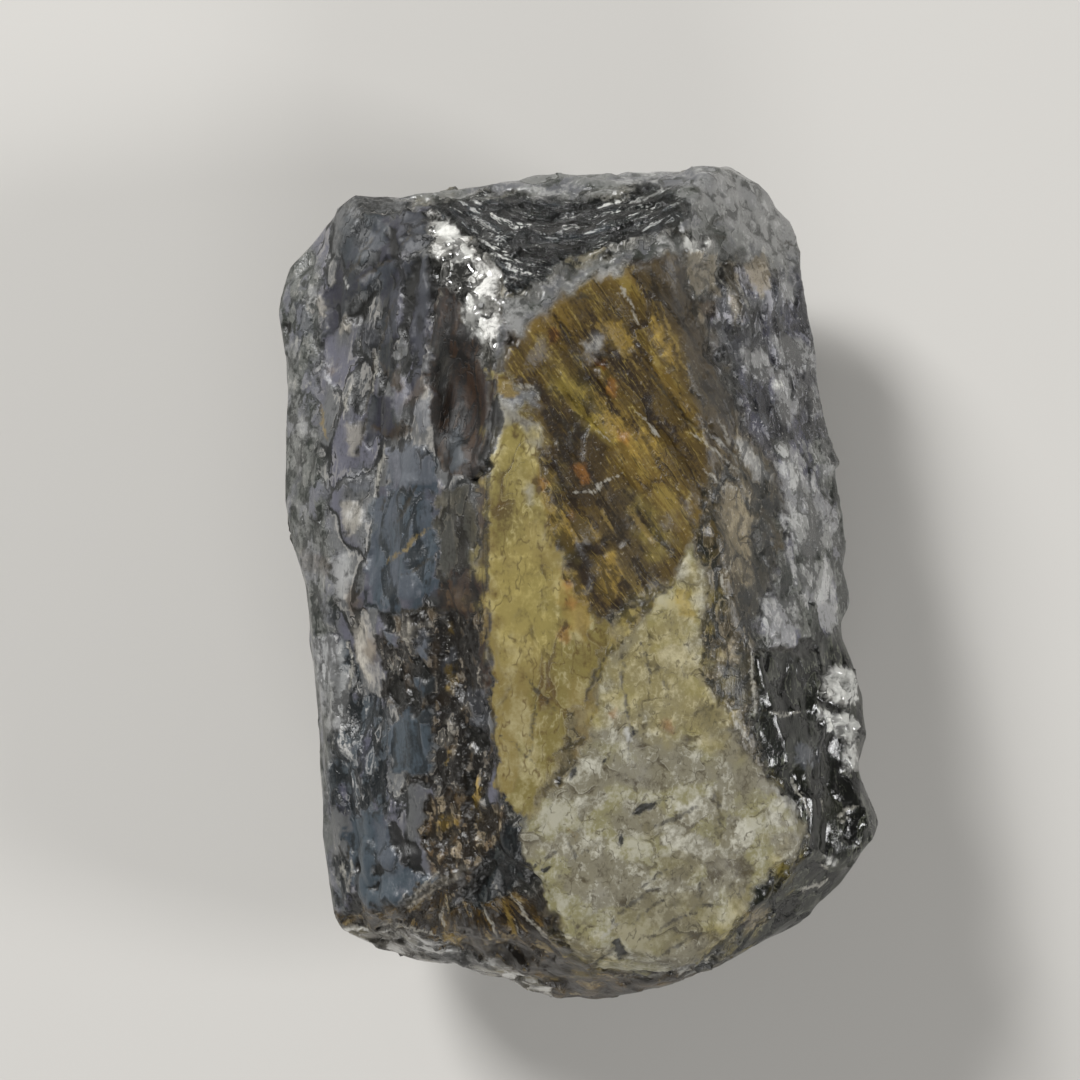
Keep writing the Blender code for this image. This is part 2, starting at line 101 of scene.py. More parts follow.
# Outlines of the colour zones in the photograph's pixels, from the lowest layer up
OUTLINES = {
    "prism": [
        [(200, 120), (385, 170), (400, 200), (428, 204), (431, 300), (432, 380), (434, 440), (445, 470),
         (470, 480), (487, 480), (488, 560), (488, 640), (492, 700), (496, 770), (505, 815), (480, 840),
         (430, 885), (400, 912), (345, 916), (220, 950)],
    ],
    "rim": [
        [(200, 170), (300, 236), (320, 262), (316, 330), (320, 400), (318, 450), (326, 520), (332, 570),
         (338, 640), (350, 700), (340, 720), (330, 760), (326, 820), (340, 905), (200, 920)],
    ],
    "shards": [
        [(384, 612), (420, 610), (460, 612), (484, 600), (486, 640), (490, 712), (470, 716), (436, 708),
         (400, 712), (384, 700), (380, 650)],
        [(432, 716), (446, 712), (470, 716), (490, 730), (494, 780), (480, 796), (456, 784), (434, 790),
         (398, 784), (412, 776), (434, 772)],
    ],
    "streaked": [
        [(352, 700), (386, 696), (389, 730), (388, 760), (386, 792), (400, 812), (388, 816), (370, 812),
         (348, 812), (330, 812), (330, 742), (342, 722)],
        [(334, 858), (350, 862), (356, 892), (352, 912), (340, 905)],
        [(318, 640), (336, 632), (356, 660), (358, 712), (340, 716), (326, 690)],
    ],
    "upper_plate": [
        [(358, 216), (398, 214), (404, 250), (380, 276), (352, 300), (335, 330), (321, 340), (328, 290),
         (345, 245)],
        [(400, 216), (427, 210), (428, 250), (400, 256)],
        [(407, 262), (428, 254), (427, 330), (424, 398), (410, 392), (412, 330)],
        [(384, 262), (403, 258), (400, 320), (394, 392), (380, 372), (380, 310)],
        [(366, 400), (392, 395), (400, 430), (372, 446), (364, 430)],
    ],
    "plate": [
        [(389, 455), (412, 441), (434, 456), (438, 520), (436, 585), (416, 612), (378, 612), (359, 602),
         (369, 560), (377, 510), (383, 480)],
        [(387, 722), (402, 712), (430, 706), (431, 772), (412, 776), (392, 770)],
        [(348, 814), (384, 812), (392, 828), (402, 856), (420, 872), (438, 878), (410, 893), (385, 908),
         (360, 906), (352, 880), (345, 850)],
        [(385, 631), (399, 630), (396, 648), (386, 646)],
        [(416, 638), (428, 636), (426, 660), (418, 656)],
        [(414, 680), (430, 678), (431, 697), (418, 698)],
    ],
    "grey_plate": [
        [(438, 496), (470, 488), (480, 528), (479, 566), (464, 582), (440, 598), (438, 560)],
        [(444, 552), (476, 552), (478, 576), (446, 594)],
    ],
    "brown": [
        [(438, 286), (455, 286), (463, 306), (475, 340), (488, 370), (498, 404), (496, 430), (488, 462),
         (470, 478), (445, 472), (434, 450), (430, 400), (430, 330)],
        [(436, 584), (452, 578), (466, 570), (482, 576), (483, 604), (466, 613), (436, 612)],
        [(476, 480), (489, 470), (488, 600), (486, 700), (480, 700), (479, 600), (481, 540)],
    ],
    "golden": [
        [(490, 372), (515, 370), (527, 395), (536, 430), (541, 470), (548, 500), (556, 540), (566, 580),
         (598, 612), (622, 640), (616, 680), (604, 712), (592, 745), (572, 782), (548, 812), (525, 818),
         (510, 806), (499, 790), (496, 750), (493, 700), (489, 640), (487, 560), (487, 500), (490, 440),
         (497, 410)],
    ],
    "amber": [
        [(530, 318), (564, 293), (597, 278), (627, 266), (658, 255), (682, 256), (692, 300), (703, 340),
         (726, 385), (740, 425), (735, 455), (715, 480), (700, 520), (690, 560), (668, 585), (640, 602),
         (612, 612), (596, 625), (580, 600), (570, 570), (558, 540), (549, 505), (541, 470), (532, 430),
         (520, 392), (500, 366), (512, 345)],
    ],
    "veil": [
        [(640, 604), (672, 586), (655, 606), (625, 640), (608, 668), (600, 705), (588, 735), (580, 760),
         (560, 782), (536, 806), (527, 815), (545, 784), (560, 752), (566, 712), (588, 690), (604, 642),
         (616, 616)],
        [(612, 612), (640, 603), (668, 586), (676, 600), (650, 626), (626, 632)],
    ],
    "cream": [
        [(690, 540), (702, 565), (706, 600), (703, 640), (700, 655), (715, 680), (724, 706), (740, 740),
         (764, 760), (772, 778), (806, 815), (806, 832), (798, 852), (765, 876), (745, 905), (728, 940),
         (700, 960), (660, 972), (620, 975), (590, 962), (565, 940), (545, 905), (532, 880), (524, 850),
         (523, 830), (531, 815), (548, 797), (574, 765), (590, 735), (602, 690), (610, 657), (627, 637),
         (646, 612), (668, 590), (680, 565)],
    ],
    "ripple": [
        [(430, 203), (470, 197), (520, 196), (560, 201), (600, 198), (640, 188), (664, 185), (692, 196),
         (688, 212), (672, 224), (655, 236), (620, 241), (585, 253), (560, 262), (548, 284), (520, 292),
         (502, 288), (496, 262), (480, 243), (462, 226), (438, 212)],
    ],
    "pale": [
        [(395, 150), (720, 130), (850, 200), (840, 290), (812, 262), (790, 300), (770, 268), (745, 258),
         (720, 262), (706, 296), (690, 300), (682, 262), (686, 236), (672, 224), (690, 204), (664, 184),
         (640, 186), (600, 196), (560, 199), (520, 194), (470, 195), (430, 201), (400, 198)],
        [(500, 300), (527, 300), (560, 276), (597, 262), (640, 245), (668, 236), (686, 236), (682, 254),
         (658, 253), (627, 264), (597, 276), (564, 291), (545, 306), (530, 320), (524, 336), (508, 338),
         (498, 356), (496, 330)],
        [(497, 400), (506, 380), (536, 392), (540, 412), (524, 404), (512, 410)],
    ],
    "squiggle": [
        [(690, 300), (720, 300), (712, 345), (735, 392), (748, 432), (772, 452), (784, 500), (772, 522),
         (786, 540), (776, 562), (772, 592), (754, 620), (756, 650), (752, 700), (752, 730), (764, 762),
         (770, 780), (740, 742), (724, 708), (712, 680), (700, 652), (706, 600), (702, 565), (692, 538),
         (702, 500), (718, 472), (738, 446), (728, 390), (704, 340)],
    ],
    "violet": [
        [(712, 296), (745, 262), (770, 270), (800, 290), (850, 300), (860, 380), (850, 450), (800, 440),
         (772, 452), (748, 432), (733, 392), (708, 345)],
    ],
    "sugar": [
        [(772, 448), (800, 436), (832, 440), (880, 520), (870, 600), (840, 628), (812, 650), (757, 650),
         (755, 620), (773, 592), (778, 562), (788, 540), (774, 522), (786, 500)],
    ],
    "glass": [
        [(754, 652), (800, 650), (842, 622), (880, 640), (900, 760), (920, 830), (850, 930), (760, 1000),
         (700, 990), (728, 955), (746, 908), (767, 880), (800, 853), (808, 826), (792, 800), (768, 776),
         (764, 758), (754, 735)],
    ],
    "foot": [
        [(430, 792), (455, 785), (480, 800), (503, 812), (512, 830), (495, 850), (480, 880), (468, 905),
         (440, 900), (412, 892), (440, 878), (426, 862), (420, 830)],
    ],
    "fan": [
        [(330, 914), (400, 905), (440, 915), (470, 906), (490, 882), (512, 880), (536, 905), (562, 944),
         (590, 968), (640, 980), (700, 975), (740, 962), (700, 1020), (560, 1020), (500, 962), (450, 944),
         (390, 928), (340, 925)],
        [(418, 890), (440, 884), (452, 900), (440, 922), (416, 912)],
    ],
    "slate": [
        [(508, 818), (522, 828), (528, 862), (516, 890), (486, 904), (468, 908), (472, 888), (492, 850),
         (500, 835)],
    ],
    "band": [
        [(340, 926), (400, 931), (450, 947), (500, 963), (540, 978), (556, 1000), (500, 1000), (420, 980),
         (350, 950)],
    ],
    # Bright breaks, whose pale colour is a painted highlight
    "highlit_crest": [
        [(430, 210), (447, 214), (462, 232), (480, 256), (493, 264), (500, 285), (503, 310), (497, 354),
         (480, 332), (463, 306), (452, 290), (438, 284), (431, 270), (432, 240)],
        [(686, 238), (706, 238), (713, 250), (700, 257), (688, 251)],
        [(828, 666), (853, 671), (849, 704), (838, 706), (820, 689)],
        [(818, 710), (836, 712), (859, 730), (858, 742), (838, 738)],
        [(848, 742), (860, 740), (862, 768), (850, 768)],
    ],
}

# Plates, pools and stains inside the zones: colour, how much of it shows, how soft its edge is
# in mm, how far it stands out in mm, and where it lies, in the same pixels
STAINS = {
    "smoke": ("#2a2c28", 0.7, 0.16, -0.04, [
        [(748, 518), (764, 520), (776, 560), (770, 600), (754, 640), (746, 600), (750, 560)],
        [(700, 322), (730, 318), (765, 330), (770, 365), (735, 372), (702, 360)],
        [(690, 362), (735, 372), (742, 410), (716, 412), (694, 396)],
        [(720, 250), (748, 246), (750, 262), (738, 268), (722, 262)],
        [(668, 202), (690, 200), (690, 209), (674, 211)],
        [(745, 295), (768, 298), (765, 318), (748, 316)],
        [(752, 576), (785, 582), (792, 594), (762, 602), (750, 592)],
        [(756, 534), (771, 536), (774, 572), (757, 564)],
        [(748, 500), (760, 498), (762, 511), (750, 513)],
        [(762, 499), (780, 497), (780, 516), (764, 518)],
        [(720, 662), (732, 655), (750, 652), (752, 700), (744, 707), (722, 698)],
        [(756, 690), (773, 688), (774, 711), (758, 712)],
        [(760, 713), (800, 714), (822, 712), (842, 740), (846, 762), (764, 762)],
        [(812, 636), (832, 634), (834, 650), (822, 660)],
        [(730, 168), (736, 172), (734, 183), (728, 178)],
        [(800, 440), (812, 444), (815, 458), (806, 462)],
        [(812, 470), (824, 476), (838, 500), (828, 498)],
        [(634, 186), (655, 184), (664, 196), (650, 206), (630, 202)],
        [(310, 516), (318, 512), (322, 524), (316, 532), (310, 526)],
        [(334, 280), (343, 281), (342, 288), (335, 287)],
        [(436, 340), (452, 352), (446, 400), (434, 392)],
    ]),
    "deep_violet": ("#2e2f3d", 0.6, 0.16, -0.05, [
        [(750, 386), (764, 380), (772, 400), (770, 416), (758, 412), (750, 400)],
        [(762, 428), (776, 426), (778, 438), (766, 440)],
        [(792, 268), (812, 258), (816, 290), (806, 304), (792, 290)],
        [(784, 308), (806, 302), (810, 322), (798, 334), (786, 326)],
        [(760, 318), (774, 314), (776, 330), (764, 334)],
        [(800, 372), (816, 366), (818, 386), (806, 392)],
        [(799, 404), (810, 402), (812, 420), (802, 424)],
    ]),
    "dusk": ("#3d3f46", 0.65, 0.07, 0.05, [
        [(402, 212), (424, 210), (426, 240), (420, 252), (402, 252), (398, 238)],
        [(404, 258), (417, 256), (412, 275), (402, 306), (392, 346), (381, 344), (386, 318), (396, 280)],
        [(421, 258), (429, 257), (431, 300), (428, 342), (424, 398), (415, 396), (412, 350), (415, 308)],
        [(360, 322), (380, 320), (378, 345), (366, 352), (358, 340)],
    ]),
    "blue_dusk": ("#2e353b", 0.6, 0.08, 0.05, [
        [(345, 218), (385, 216), (386, 240), (374, 262), (350, 262), (338, 250)],
        [(376, 268), (396, 264), (384, 290), (368, 300), (360, 290)],
    ]),
    "lilac": ("#5f6268", 0.6, 0.07, 0.05, [
        [(414, 404), (430, 402), (430, 428), (418, 432)],
        [(350, 478), (362, 468), (373, 480), (368, 492), (350, 490)],
        [(388, 452), (410, 440), (434, 458), (435, 484), (402, 488), (384, 482)],
        [(383, 628), (393, 627), (394, 644), (385, 645)],
        [(416, 630), (429, 632), (428, 660), (417, 656)],
        [(452, 644), (457, 650), (446, 676), (442, 672)],
        [(466, 690), (484, 690), (490, 720), (484, 738), (472, 724)],
        [(296, 300), (308, 298), (312, 330), (300, 340)],
        [(318, 596), (332, 600), (334, 626), (322, 620)],
        [(318, 640), (334, 640), (336, 680), (320, 684)],
        [(797, 746), (815, 745), (817, 764), (800, 766)],
        [(454, 896), (466, 898), (462, 908), (456, 906)],
    ]),
    "steel": ("#434d54", 0.6, 0.08, 0.05, [
        [(372, 500), (400, 492), (434, 500), (436, 560), (420, 600), (374, 602), (368, 560)],
        [(388, 722), (430, 708), (431, 772), (394, 772)],
        [(350, 814), (384, 814), (396, 850), (408, 874), (392, 904), (364, 904), (352, 870)],
        [(446, 430), (462, 428), (466, 462), (452, 470)],
    ]),
    "bone": ("#9c978c", 0.65, 0.08, 0.05, [
        [(348, 424), (364, 424), (364, 441), (357, 455), (349, 456), (346, 442)],
        [(342, 500), (360, 500), (363, 520), (352, 534), (342, 528)],
        [(338, 322), (346, 316), (352, 322), (350, 332), (342, 334)],
        [(352, 612), (360, 616), (372, 650), (372, 680), (362, 672), (354, 650)],
        [(400, 907), (420, 891), (462, 866), (470, 868), (440, 890), (414, 908)],
        [(398, 628), (412, 622), (422, 626), (408, 638), (398, 640)],
        [(430, 616), (435, 618), (434, 628), (430, 626)],
        [(447, 722), (454, 722), (453, 740), (448, 742)],
        [(316, 298), (326, 300), (324, 320), (316, 318)],
    ]),
    "frost": ("#a6a6a4", 0.65, 0.14, 0.03, [
        [(312, 640), (338, 636), (350, 690), (346, 730), (328, 732), (316, 690)],
        [(330, 560), (348, 556), (350, 600), (334, 600)],
        [(770, 340), (800, 336), (815, 350), (822, 376), (800, 372), (780, 366)],
        [(742, 352), (760, 350), (775, 372), (765, 382), (748, 376)],
        [(808, 276), (820, 282), (823, 330), (811, 330)],
        [(818, 440), (830, 440), (838, 480), (828, 478)],
        [(730, 432), (752, 446), (770, 478), (758, 480), (740, 462)],
        [(298, 418), (308, 412), (314, 436), (306, 446), (300, 434)],
        [(306, 284), (316, 286), (314, 306), (305, 302)],
        [(500, 300), (526, 302), (528, 330), (508, 336), (500, 322)],
        [(494, 400), (508, 402), (522, 414), (540, 428), (538, 446), (528, 448), (524, 428), (508, 420),
         (496, 432)],
        [(584, 346), (592, 336), (602, 330), (604, 342), (596, 350)],
        [(525, 486), (532, 482), (534, 496), (530, 510), (526, 506)],
        [(764, 600), (798, 596), (800, 622), (794, 646), (770, 648), (764, 630)],
        [(798, 562), (834, 560), (836, 596), (812, 604), (798, 596)],
        [(783, 440), (800, 452), (812, 486), (838, 510), (842, 540), (800, 560), (782, 520)],
        [(772, 372), (790, 370), (800, 410), (788, 430), (774, 410)],
        [(806, 388), (818, 384), (820, 412), (810, 418)],
        [(780, 276), (792, 282), (796, 300), (782, 300)],
        [(694, 168), (760, 184), (800, 215), (806, 250), (780, 262), (740, 232), (700, 204)],
        [(400, 936), (440, 942), (480, 956), (506, 966), (470, 970), (420, 956)],
        [(776, 790), (790, 796), (800, 812), (790, 814)],
        [(598, 268), (620, 262), (614, 276), (600, 280)],
    ]),
    "umber": ("#2f220c", 0.75, 0.07, -0.03, [
        [(542, 402), (560, 412), (590, 426), (606, 446), (604, 500), (584, 506), (566, 498), (556, 480),
         (548, 440)],
        [(628, 258), (664, 258), (690, 296), (704, 344), (724, 388), (706, 392), (684, 350), (650, 300)],
        [(504, 334), (514, 333), (522, 342), (517, 349), (505, 343)],
        [(604, 486), (640, 492), (646, 540), (620, 540), (606, 520)],
        [(574, 540), (590, 542), (596, 566), (580, 570)],
        [(644, 400), (652, 404), (656, 426), (648, 424)],
        [(384, 436), (392, 428), (402, 424), (413, 428), (405, 436), (392, 439)],
        [(368, 424), (380, 426), (385, 432), (374, 431)],
        [(430, 700), (442, 690), (453, 695), (450, 706), (436, 709)],
        [(440, 790), (462, 786), (480, 796), (470, 812), (448, 806)],
        [(530, 890), (540, 892), (558, 916), (566, 936), (548, 924)],
    ]),
    "dun": ("#453a24", 0.6, 0.40, 0.0, [
        [(636, 268), (684, 262), (706, 330), (728, 385), (738, 440), (716, 478), (700, 430), (676, 380),
         (652, 322)],
        [(596, 486), (640, 490), (676, 520), (664, 572), (628, 590), (604, 556)],
    ]),
    "rust": ("#4f4130", 0.55, 0.12, 0.0, [
        [(384, 366), (392, 374), (398, 370), (404, 384), (398, 393), (391, 384)],
        [(403, 405), (410, 392), (418, 384), (424, 374), (431, 388), (420, 401)],
        [(300, 552), (318, 550), (331, 560), (326, 576), (310, 572)],
        [(440, 590), (456, 586), (478, 590), (470, 606), (446, 606)],
        [(434, 636), (440, 646), (438, 668), (430, 681), (427, 664)],
        [(346, 588), (356, 584), (362, 608), (352, 614)],
        [(363, 634), (376, 637), (380, 651), (374, 662), (366, 654)],
        [(322, 364), (336, 362), (336, 372), (326, 374)],
        [(700, 304), (714, 302), (716, 318), (703, 320)],
        [(404, 664), (410, 664), (410, 690), (404, 690)],
        [(742, 910), (756, 905), (760, 922), (744, 936)],
    ]),
    "honey": ("#8d7534", 0.7, 0.07, 0.02, [
        [(541, 470), (549, 490), (557, 520), (561, 548), (552, 540), (546, 512), (539, 486)],
        [(560, 566), (572, 590), (588, 612), (584, 640), (570, 632), (560, 600)],
        [(494, 378), (510, 379), (517, 392), (506, 397), (494, 389)],
        [(584, 384), (596, 392), (612, 410), (634, 440), (644, 470), (628, 452), (606, 426), (590, 404)],
        [(540, 462), (552, 470), (557, 482), (546, 491), (538, 498), (535, 480)],
        [(557, 500), (566, 506), (580, 513), (594, 524), (599, 537), (590, 546), (578, 540), (566, 562),
         (559, 530)],
        [(590, 556), (612, 552), (622, 580), (610, 602), (598, 590)],
        [(598, 316), (624, 322), (640, 352), (616, 350), (600, 336)],
        [(650, 302), (656, 320), (668, 344), (680, 372), (668, 362), (652, 330)],
        [(640, 424), (656, 440), (664, 466), (650, 460), (638, 440)],
        [(560, 566), (578, 572), (590, 600), (584, 640), (566, 630), (560, 600)],
        [(446, 620), (452, 626), (455, 636), (447, 632)],
        [(445, 670), (452, 668), (453, 682), (447, 690)],
        [(436, 820), (450, 816), (456, 828), (444, 834)],
        [(441, 932), (456, 933), (466, 940), (458, 946), (444, 941)],
        [(676, 590), (690, 592), (694, 620), (680, 616)],
        [(470, 782), (478, 776), (480, 800), (474, 810)],
    ]),
    "lemon": ("#9a8a40", 0.50, 0.90, 0.0, [
        [(640, 612), (668, 590), (690, 556), (704, 600), (700, 650), (722, 700), (732, 745), (690, 742),
         (640, 728), (600, 720), (596, 690), (612, 655)],
        [(503, 430), (522, 428), (526, 454), (512, 462), (503, 450)],
        [(490, 560), (540, 556), (560, 600), (556, 640), (500, 640), (492, 600)],
        [(560, 376), (574, 380), (584, 394), (602, 432), (588, 424), (572, 404), (560, 390)],
        [(660, 670), (678, 672), (680, 702), (662, 700)],
        [(596, 674), (612, 676), (626, 726), (612, 722), (598, 700)],
        [(680, 640), (700, 650), (716, 682), (724, 720), (706, 700), (686, 672)],
        [(700, 940), (724, 920), (740, 900), (746, 915), (728, 945), (705, 955)],
        [(560, 935), (590, 945), (610, 960), (580, 962)],
        [(642, 507), (650, 512), (658, 545), (648, 534)],
        [(770, 860), (790, 862), (786, 874), (772, 872)],
    ]),
    # Painted glow: the golden stripe brighter where light comes through it
    "painted_glow": ("#a8995a", 0.45, 0.90, 0.0, [
        [(503, 440), (526, 436), (540, 500), (556, 570), (560, 640), (540, 664), (508, 664), (494, 600),
         (494, 500)],
    ]),
    "olive": ("#6d6440", 0.6, 0.10, -0.02, [
        [(640, 820), (652, 822), (654, 838), (644, 842)],
        [(656, 856), (690, 852), (704, 866), (690, 882), (664, 876)],
        [(724, 886), (744, 884), (752, 896), (740, 912), (724, 902)],
        [(616, 905), (650, 896), (700, 890), (720, 910), (690, 940), (640, 960), (614, 930)],
        [(700, 700), (712, 705), (722, 740), (712, 748), (702, 726)],
        [(770, 770), (782, 776), (790, 790), (778, 786)],
        [(712, 780), (722, 800), (726, 850), (716, 830)],
    ]),
    "tan": ("#857a62", 0.7, 0.12, 0.02, [
        [(684, 252), (705, 250), (709, 280), (700, 297), (690, 290)],
        [(706, 256), (717, 252), (720, 300), (708, 296)],
        [(727, 264), (735, 262), (742, 300), (737, 330), (728, 302)],
        [(745, 264), (765, 250), (770, 280), (760, 300), (750, 288)],
        [(722, 486), (744, 480), (752, 520), (746, 560), (730, 552), (720, 520)],
        [(736, 560), (750, 556), (753, 584), (742, 590)],
        [(726, 640), (734, 636), (738, 660), (730, 664)],
        [(745, 920), (765, 905), (775, 912), (756, 930)],
    ]),
    # Painted light: paler patches at the thin edges, where light comes through them
    "painted_rim_light": ("#8e8e8b", 0.5, 0.30, 0.0, [
        [(812, 330), (832, 330), (836, 440), (822, 436), (814, 380)],
        [(830, 520), (856, 560), (862, 620), (842, 626), (838, 570)],
        [(284, 340), (298, 340), (304, 480), (286, 470)],
        [(290, 500), (306, 500), (330, 600), (312, 610)],
    ]),
    # Painted highlights: pale patches where breaks mirror the light
    "painted_highlight": ("#c8c8c3", 0.85, 0.06, 0.04, [
        [(436, 218), (446, 216), (458, 228), (462, 244), (452, 250), (444, 240), (436, 230)],
        [(452, 252), (466, 244), (476, 254), (464, 262), (452, 262)],
        [(461, 302), (472, 294), (484, 300), (480, 322), (486, 340), (480, 346), (468, 326)],
        [(680, 240), (705, 239), (708, 247), (694, 252), (682, 248)],
        [(828, 664), (846, 668), (854, 680), (857, 700), (846, 704), (830, 694), (823, 684)],
        [(816, 704), (834, 712), (852, 716), (858, 728), (852, 738), (838, 736), (826, 722)],
        [(848, 742), (857, 742), (857, 762), (849, 766)],
        [(768, 382), (782, 380), (784, 389), (772, 391)],
        [(347, 278), (351, 279), (351, 285), (347, 284)],
        [(622, 733), (630, 733), (630, 740), (623, 740)],
        [(828, 858), (836, 856), (837, 866), (829, 866)],
    ]),
    "ember": ("#8a5a24", 0.55, 0.08, 0.0, [
        [(560, 628), (568, 626), (570, 638), (564, 646), (559, 638)],
        [(566, 580), (572, 582), (572, 592), (567, 592)],
        [(608, 707), (614, 706), (619, 714), (616, 722), (610, 716)],
        [(662, 722), (668, 721), (674, 730), (672, 736), (664, 731)],
        [(572, 462), (582, 463), (594, 478), (584, 484), (574, 474)],
        [(540, 474), (547, 478), (544, 492), (537, 496)],
        [(568, 510), (578, 512), (576, 522), (568, 522)],
        [(566, 600), (578, 598), (578, 607), (568, 608)],
        [(606, 382), (616, 384), (614, 396), (606, 392)],
        [(618, 430), (626, 432), (628, 446), (620, 442)],
        [(551, 328), (558, 330), (558, 344), (551, 340)],
        [(598, 360), (606, 360), (604, 370), (598, 368)],
    ]),
}

# Small marks with a crisp, ragged edge: colour, how much of it shows and how far it stands out in
# mm. Spots are outlines. Each line has its width at its middle, tapers at both ends, and is given
# as that width and its points.
MARKS = {
    "crack": ("#2e291e", 0.75, -0.05),
    # Pale scratches, some of them painted glints along the breaks
    "scratch_and_glint": ("#a9a69c", 0.65, 0.02),
    "gold": ("#84703c", 0.6, 0.0),
    "black": ("#12120f", 0.92, -0.12),
}
SPOTS = {
    "black": [
        [(345, 318), (358, 308), (372, 291), (379, 290), (368, 306), (361, 326), (352, 322)],
        [(387, 224), (396, 228), (398, 252), (393, 264), (388, 246)],
        [(413, 262), (420, 258), (417, 286), (413, 310), (409, 342), (402, 340), (403, 302), (409, 280)],
        [(427, 258), (438, 260), (440, 285), (434, 302), (431, 330), (429, 300)],
        [(380, 611), (392, 611), (394, 626), (386, 630), (380, 622)],
        [(388, 690), (396, 670), (404, 680), (407, 706), (394, 707)],
        [(408, 686), (420, 692), (422, 716), (412, 720), (408, 704)],
        [(412, 660), (420, 655), (431, 676), (424, 684), (412, 676)],
        [(468, 726), (482, 726), (490, 748), (478, 752), (468, 742)],
        [(466, 775), (474, 770), (476, 790), (468, 800)],
        [(388, 820), (396, 824), (402, 838), (414, 842), (421, 850), (420, 866), (427, 876), (412, 872),
         (404, 866), (400, 856), (391, 846)],
        [(372, 866), (382, 864), (384, 875), (374, 876)],
        [(348, 894), (356, 891), (362, 900), (362, 914), (350, 912)],
        [(355, 864), (362, 862), (362, 873), (355, 872)],
        [(488, 856), (497, 862), (490, 877), (480, 890), (468, 905), (462, 898), (470, 880), (476, 866)],
        [(541, 227), (550, 219), (560, 222), (563, 230), (548, 234)],
        [(518, 249), (530, 245), (556, 248), (563, 255), (540, 259), (522, 256)],
        [(556, 240), (568, 240), (581, 249), (566, 252)],
        [(576, 222), (590, 220), (597, 229), (582, 232)],
        [(498, 392), (502, 420), (496, 448), (486, 466), (478, 462), (485, 440), (489, 410)],
        [(818, 694), (830, 698), (845, 708), (832, 709), (819, 703)],
        [(800, 640), (812, 638), (818, 650), (808, 658), (796, 652)],
        [(778, 905), (792, 895), (800, 900), (792, 918), (778, 922)],
        [(612, 942), (620, 938), (628, 956), (620, 962)],
        [(632, 815), (640, 806), (654, 803), (665, 801), (652, 809), (642, 815)],
        [(632, 732), (638, 731), (637, 737), (632, 737)],
        [(570, 772), (575, 767), (576, 776), (571, 781)],
        [(556, 778), (562, 777), (561, 785), (556, 784)],
        [(540, 870), (550, 864), (554, 866), (545, 873)],
        [(532, 869), (537, 863), (539, 866), (534, 871)],
        [(604, 761), (609, 760), (608, 766), (604, 767)],
        [(620, 834), (624, 836), (623, 850), (620, 848)],
        [(366, 885), (380, 883), (378, 891), (368, 890)],
        [(283, 322), (289, 322), (290, 332), (285, 335)],
        [(526, 872), (533, 872), (532, 886), (525, 886)],
    ],
}
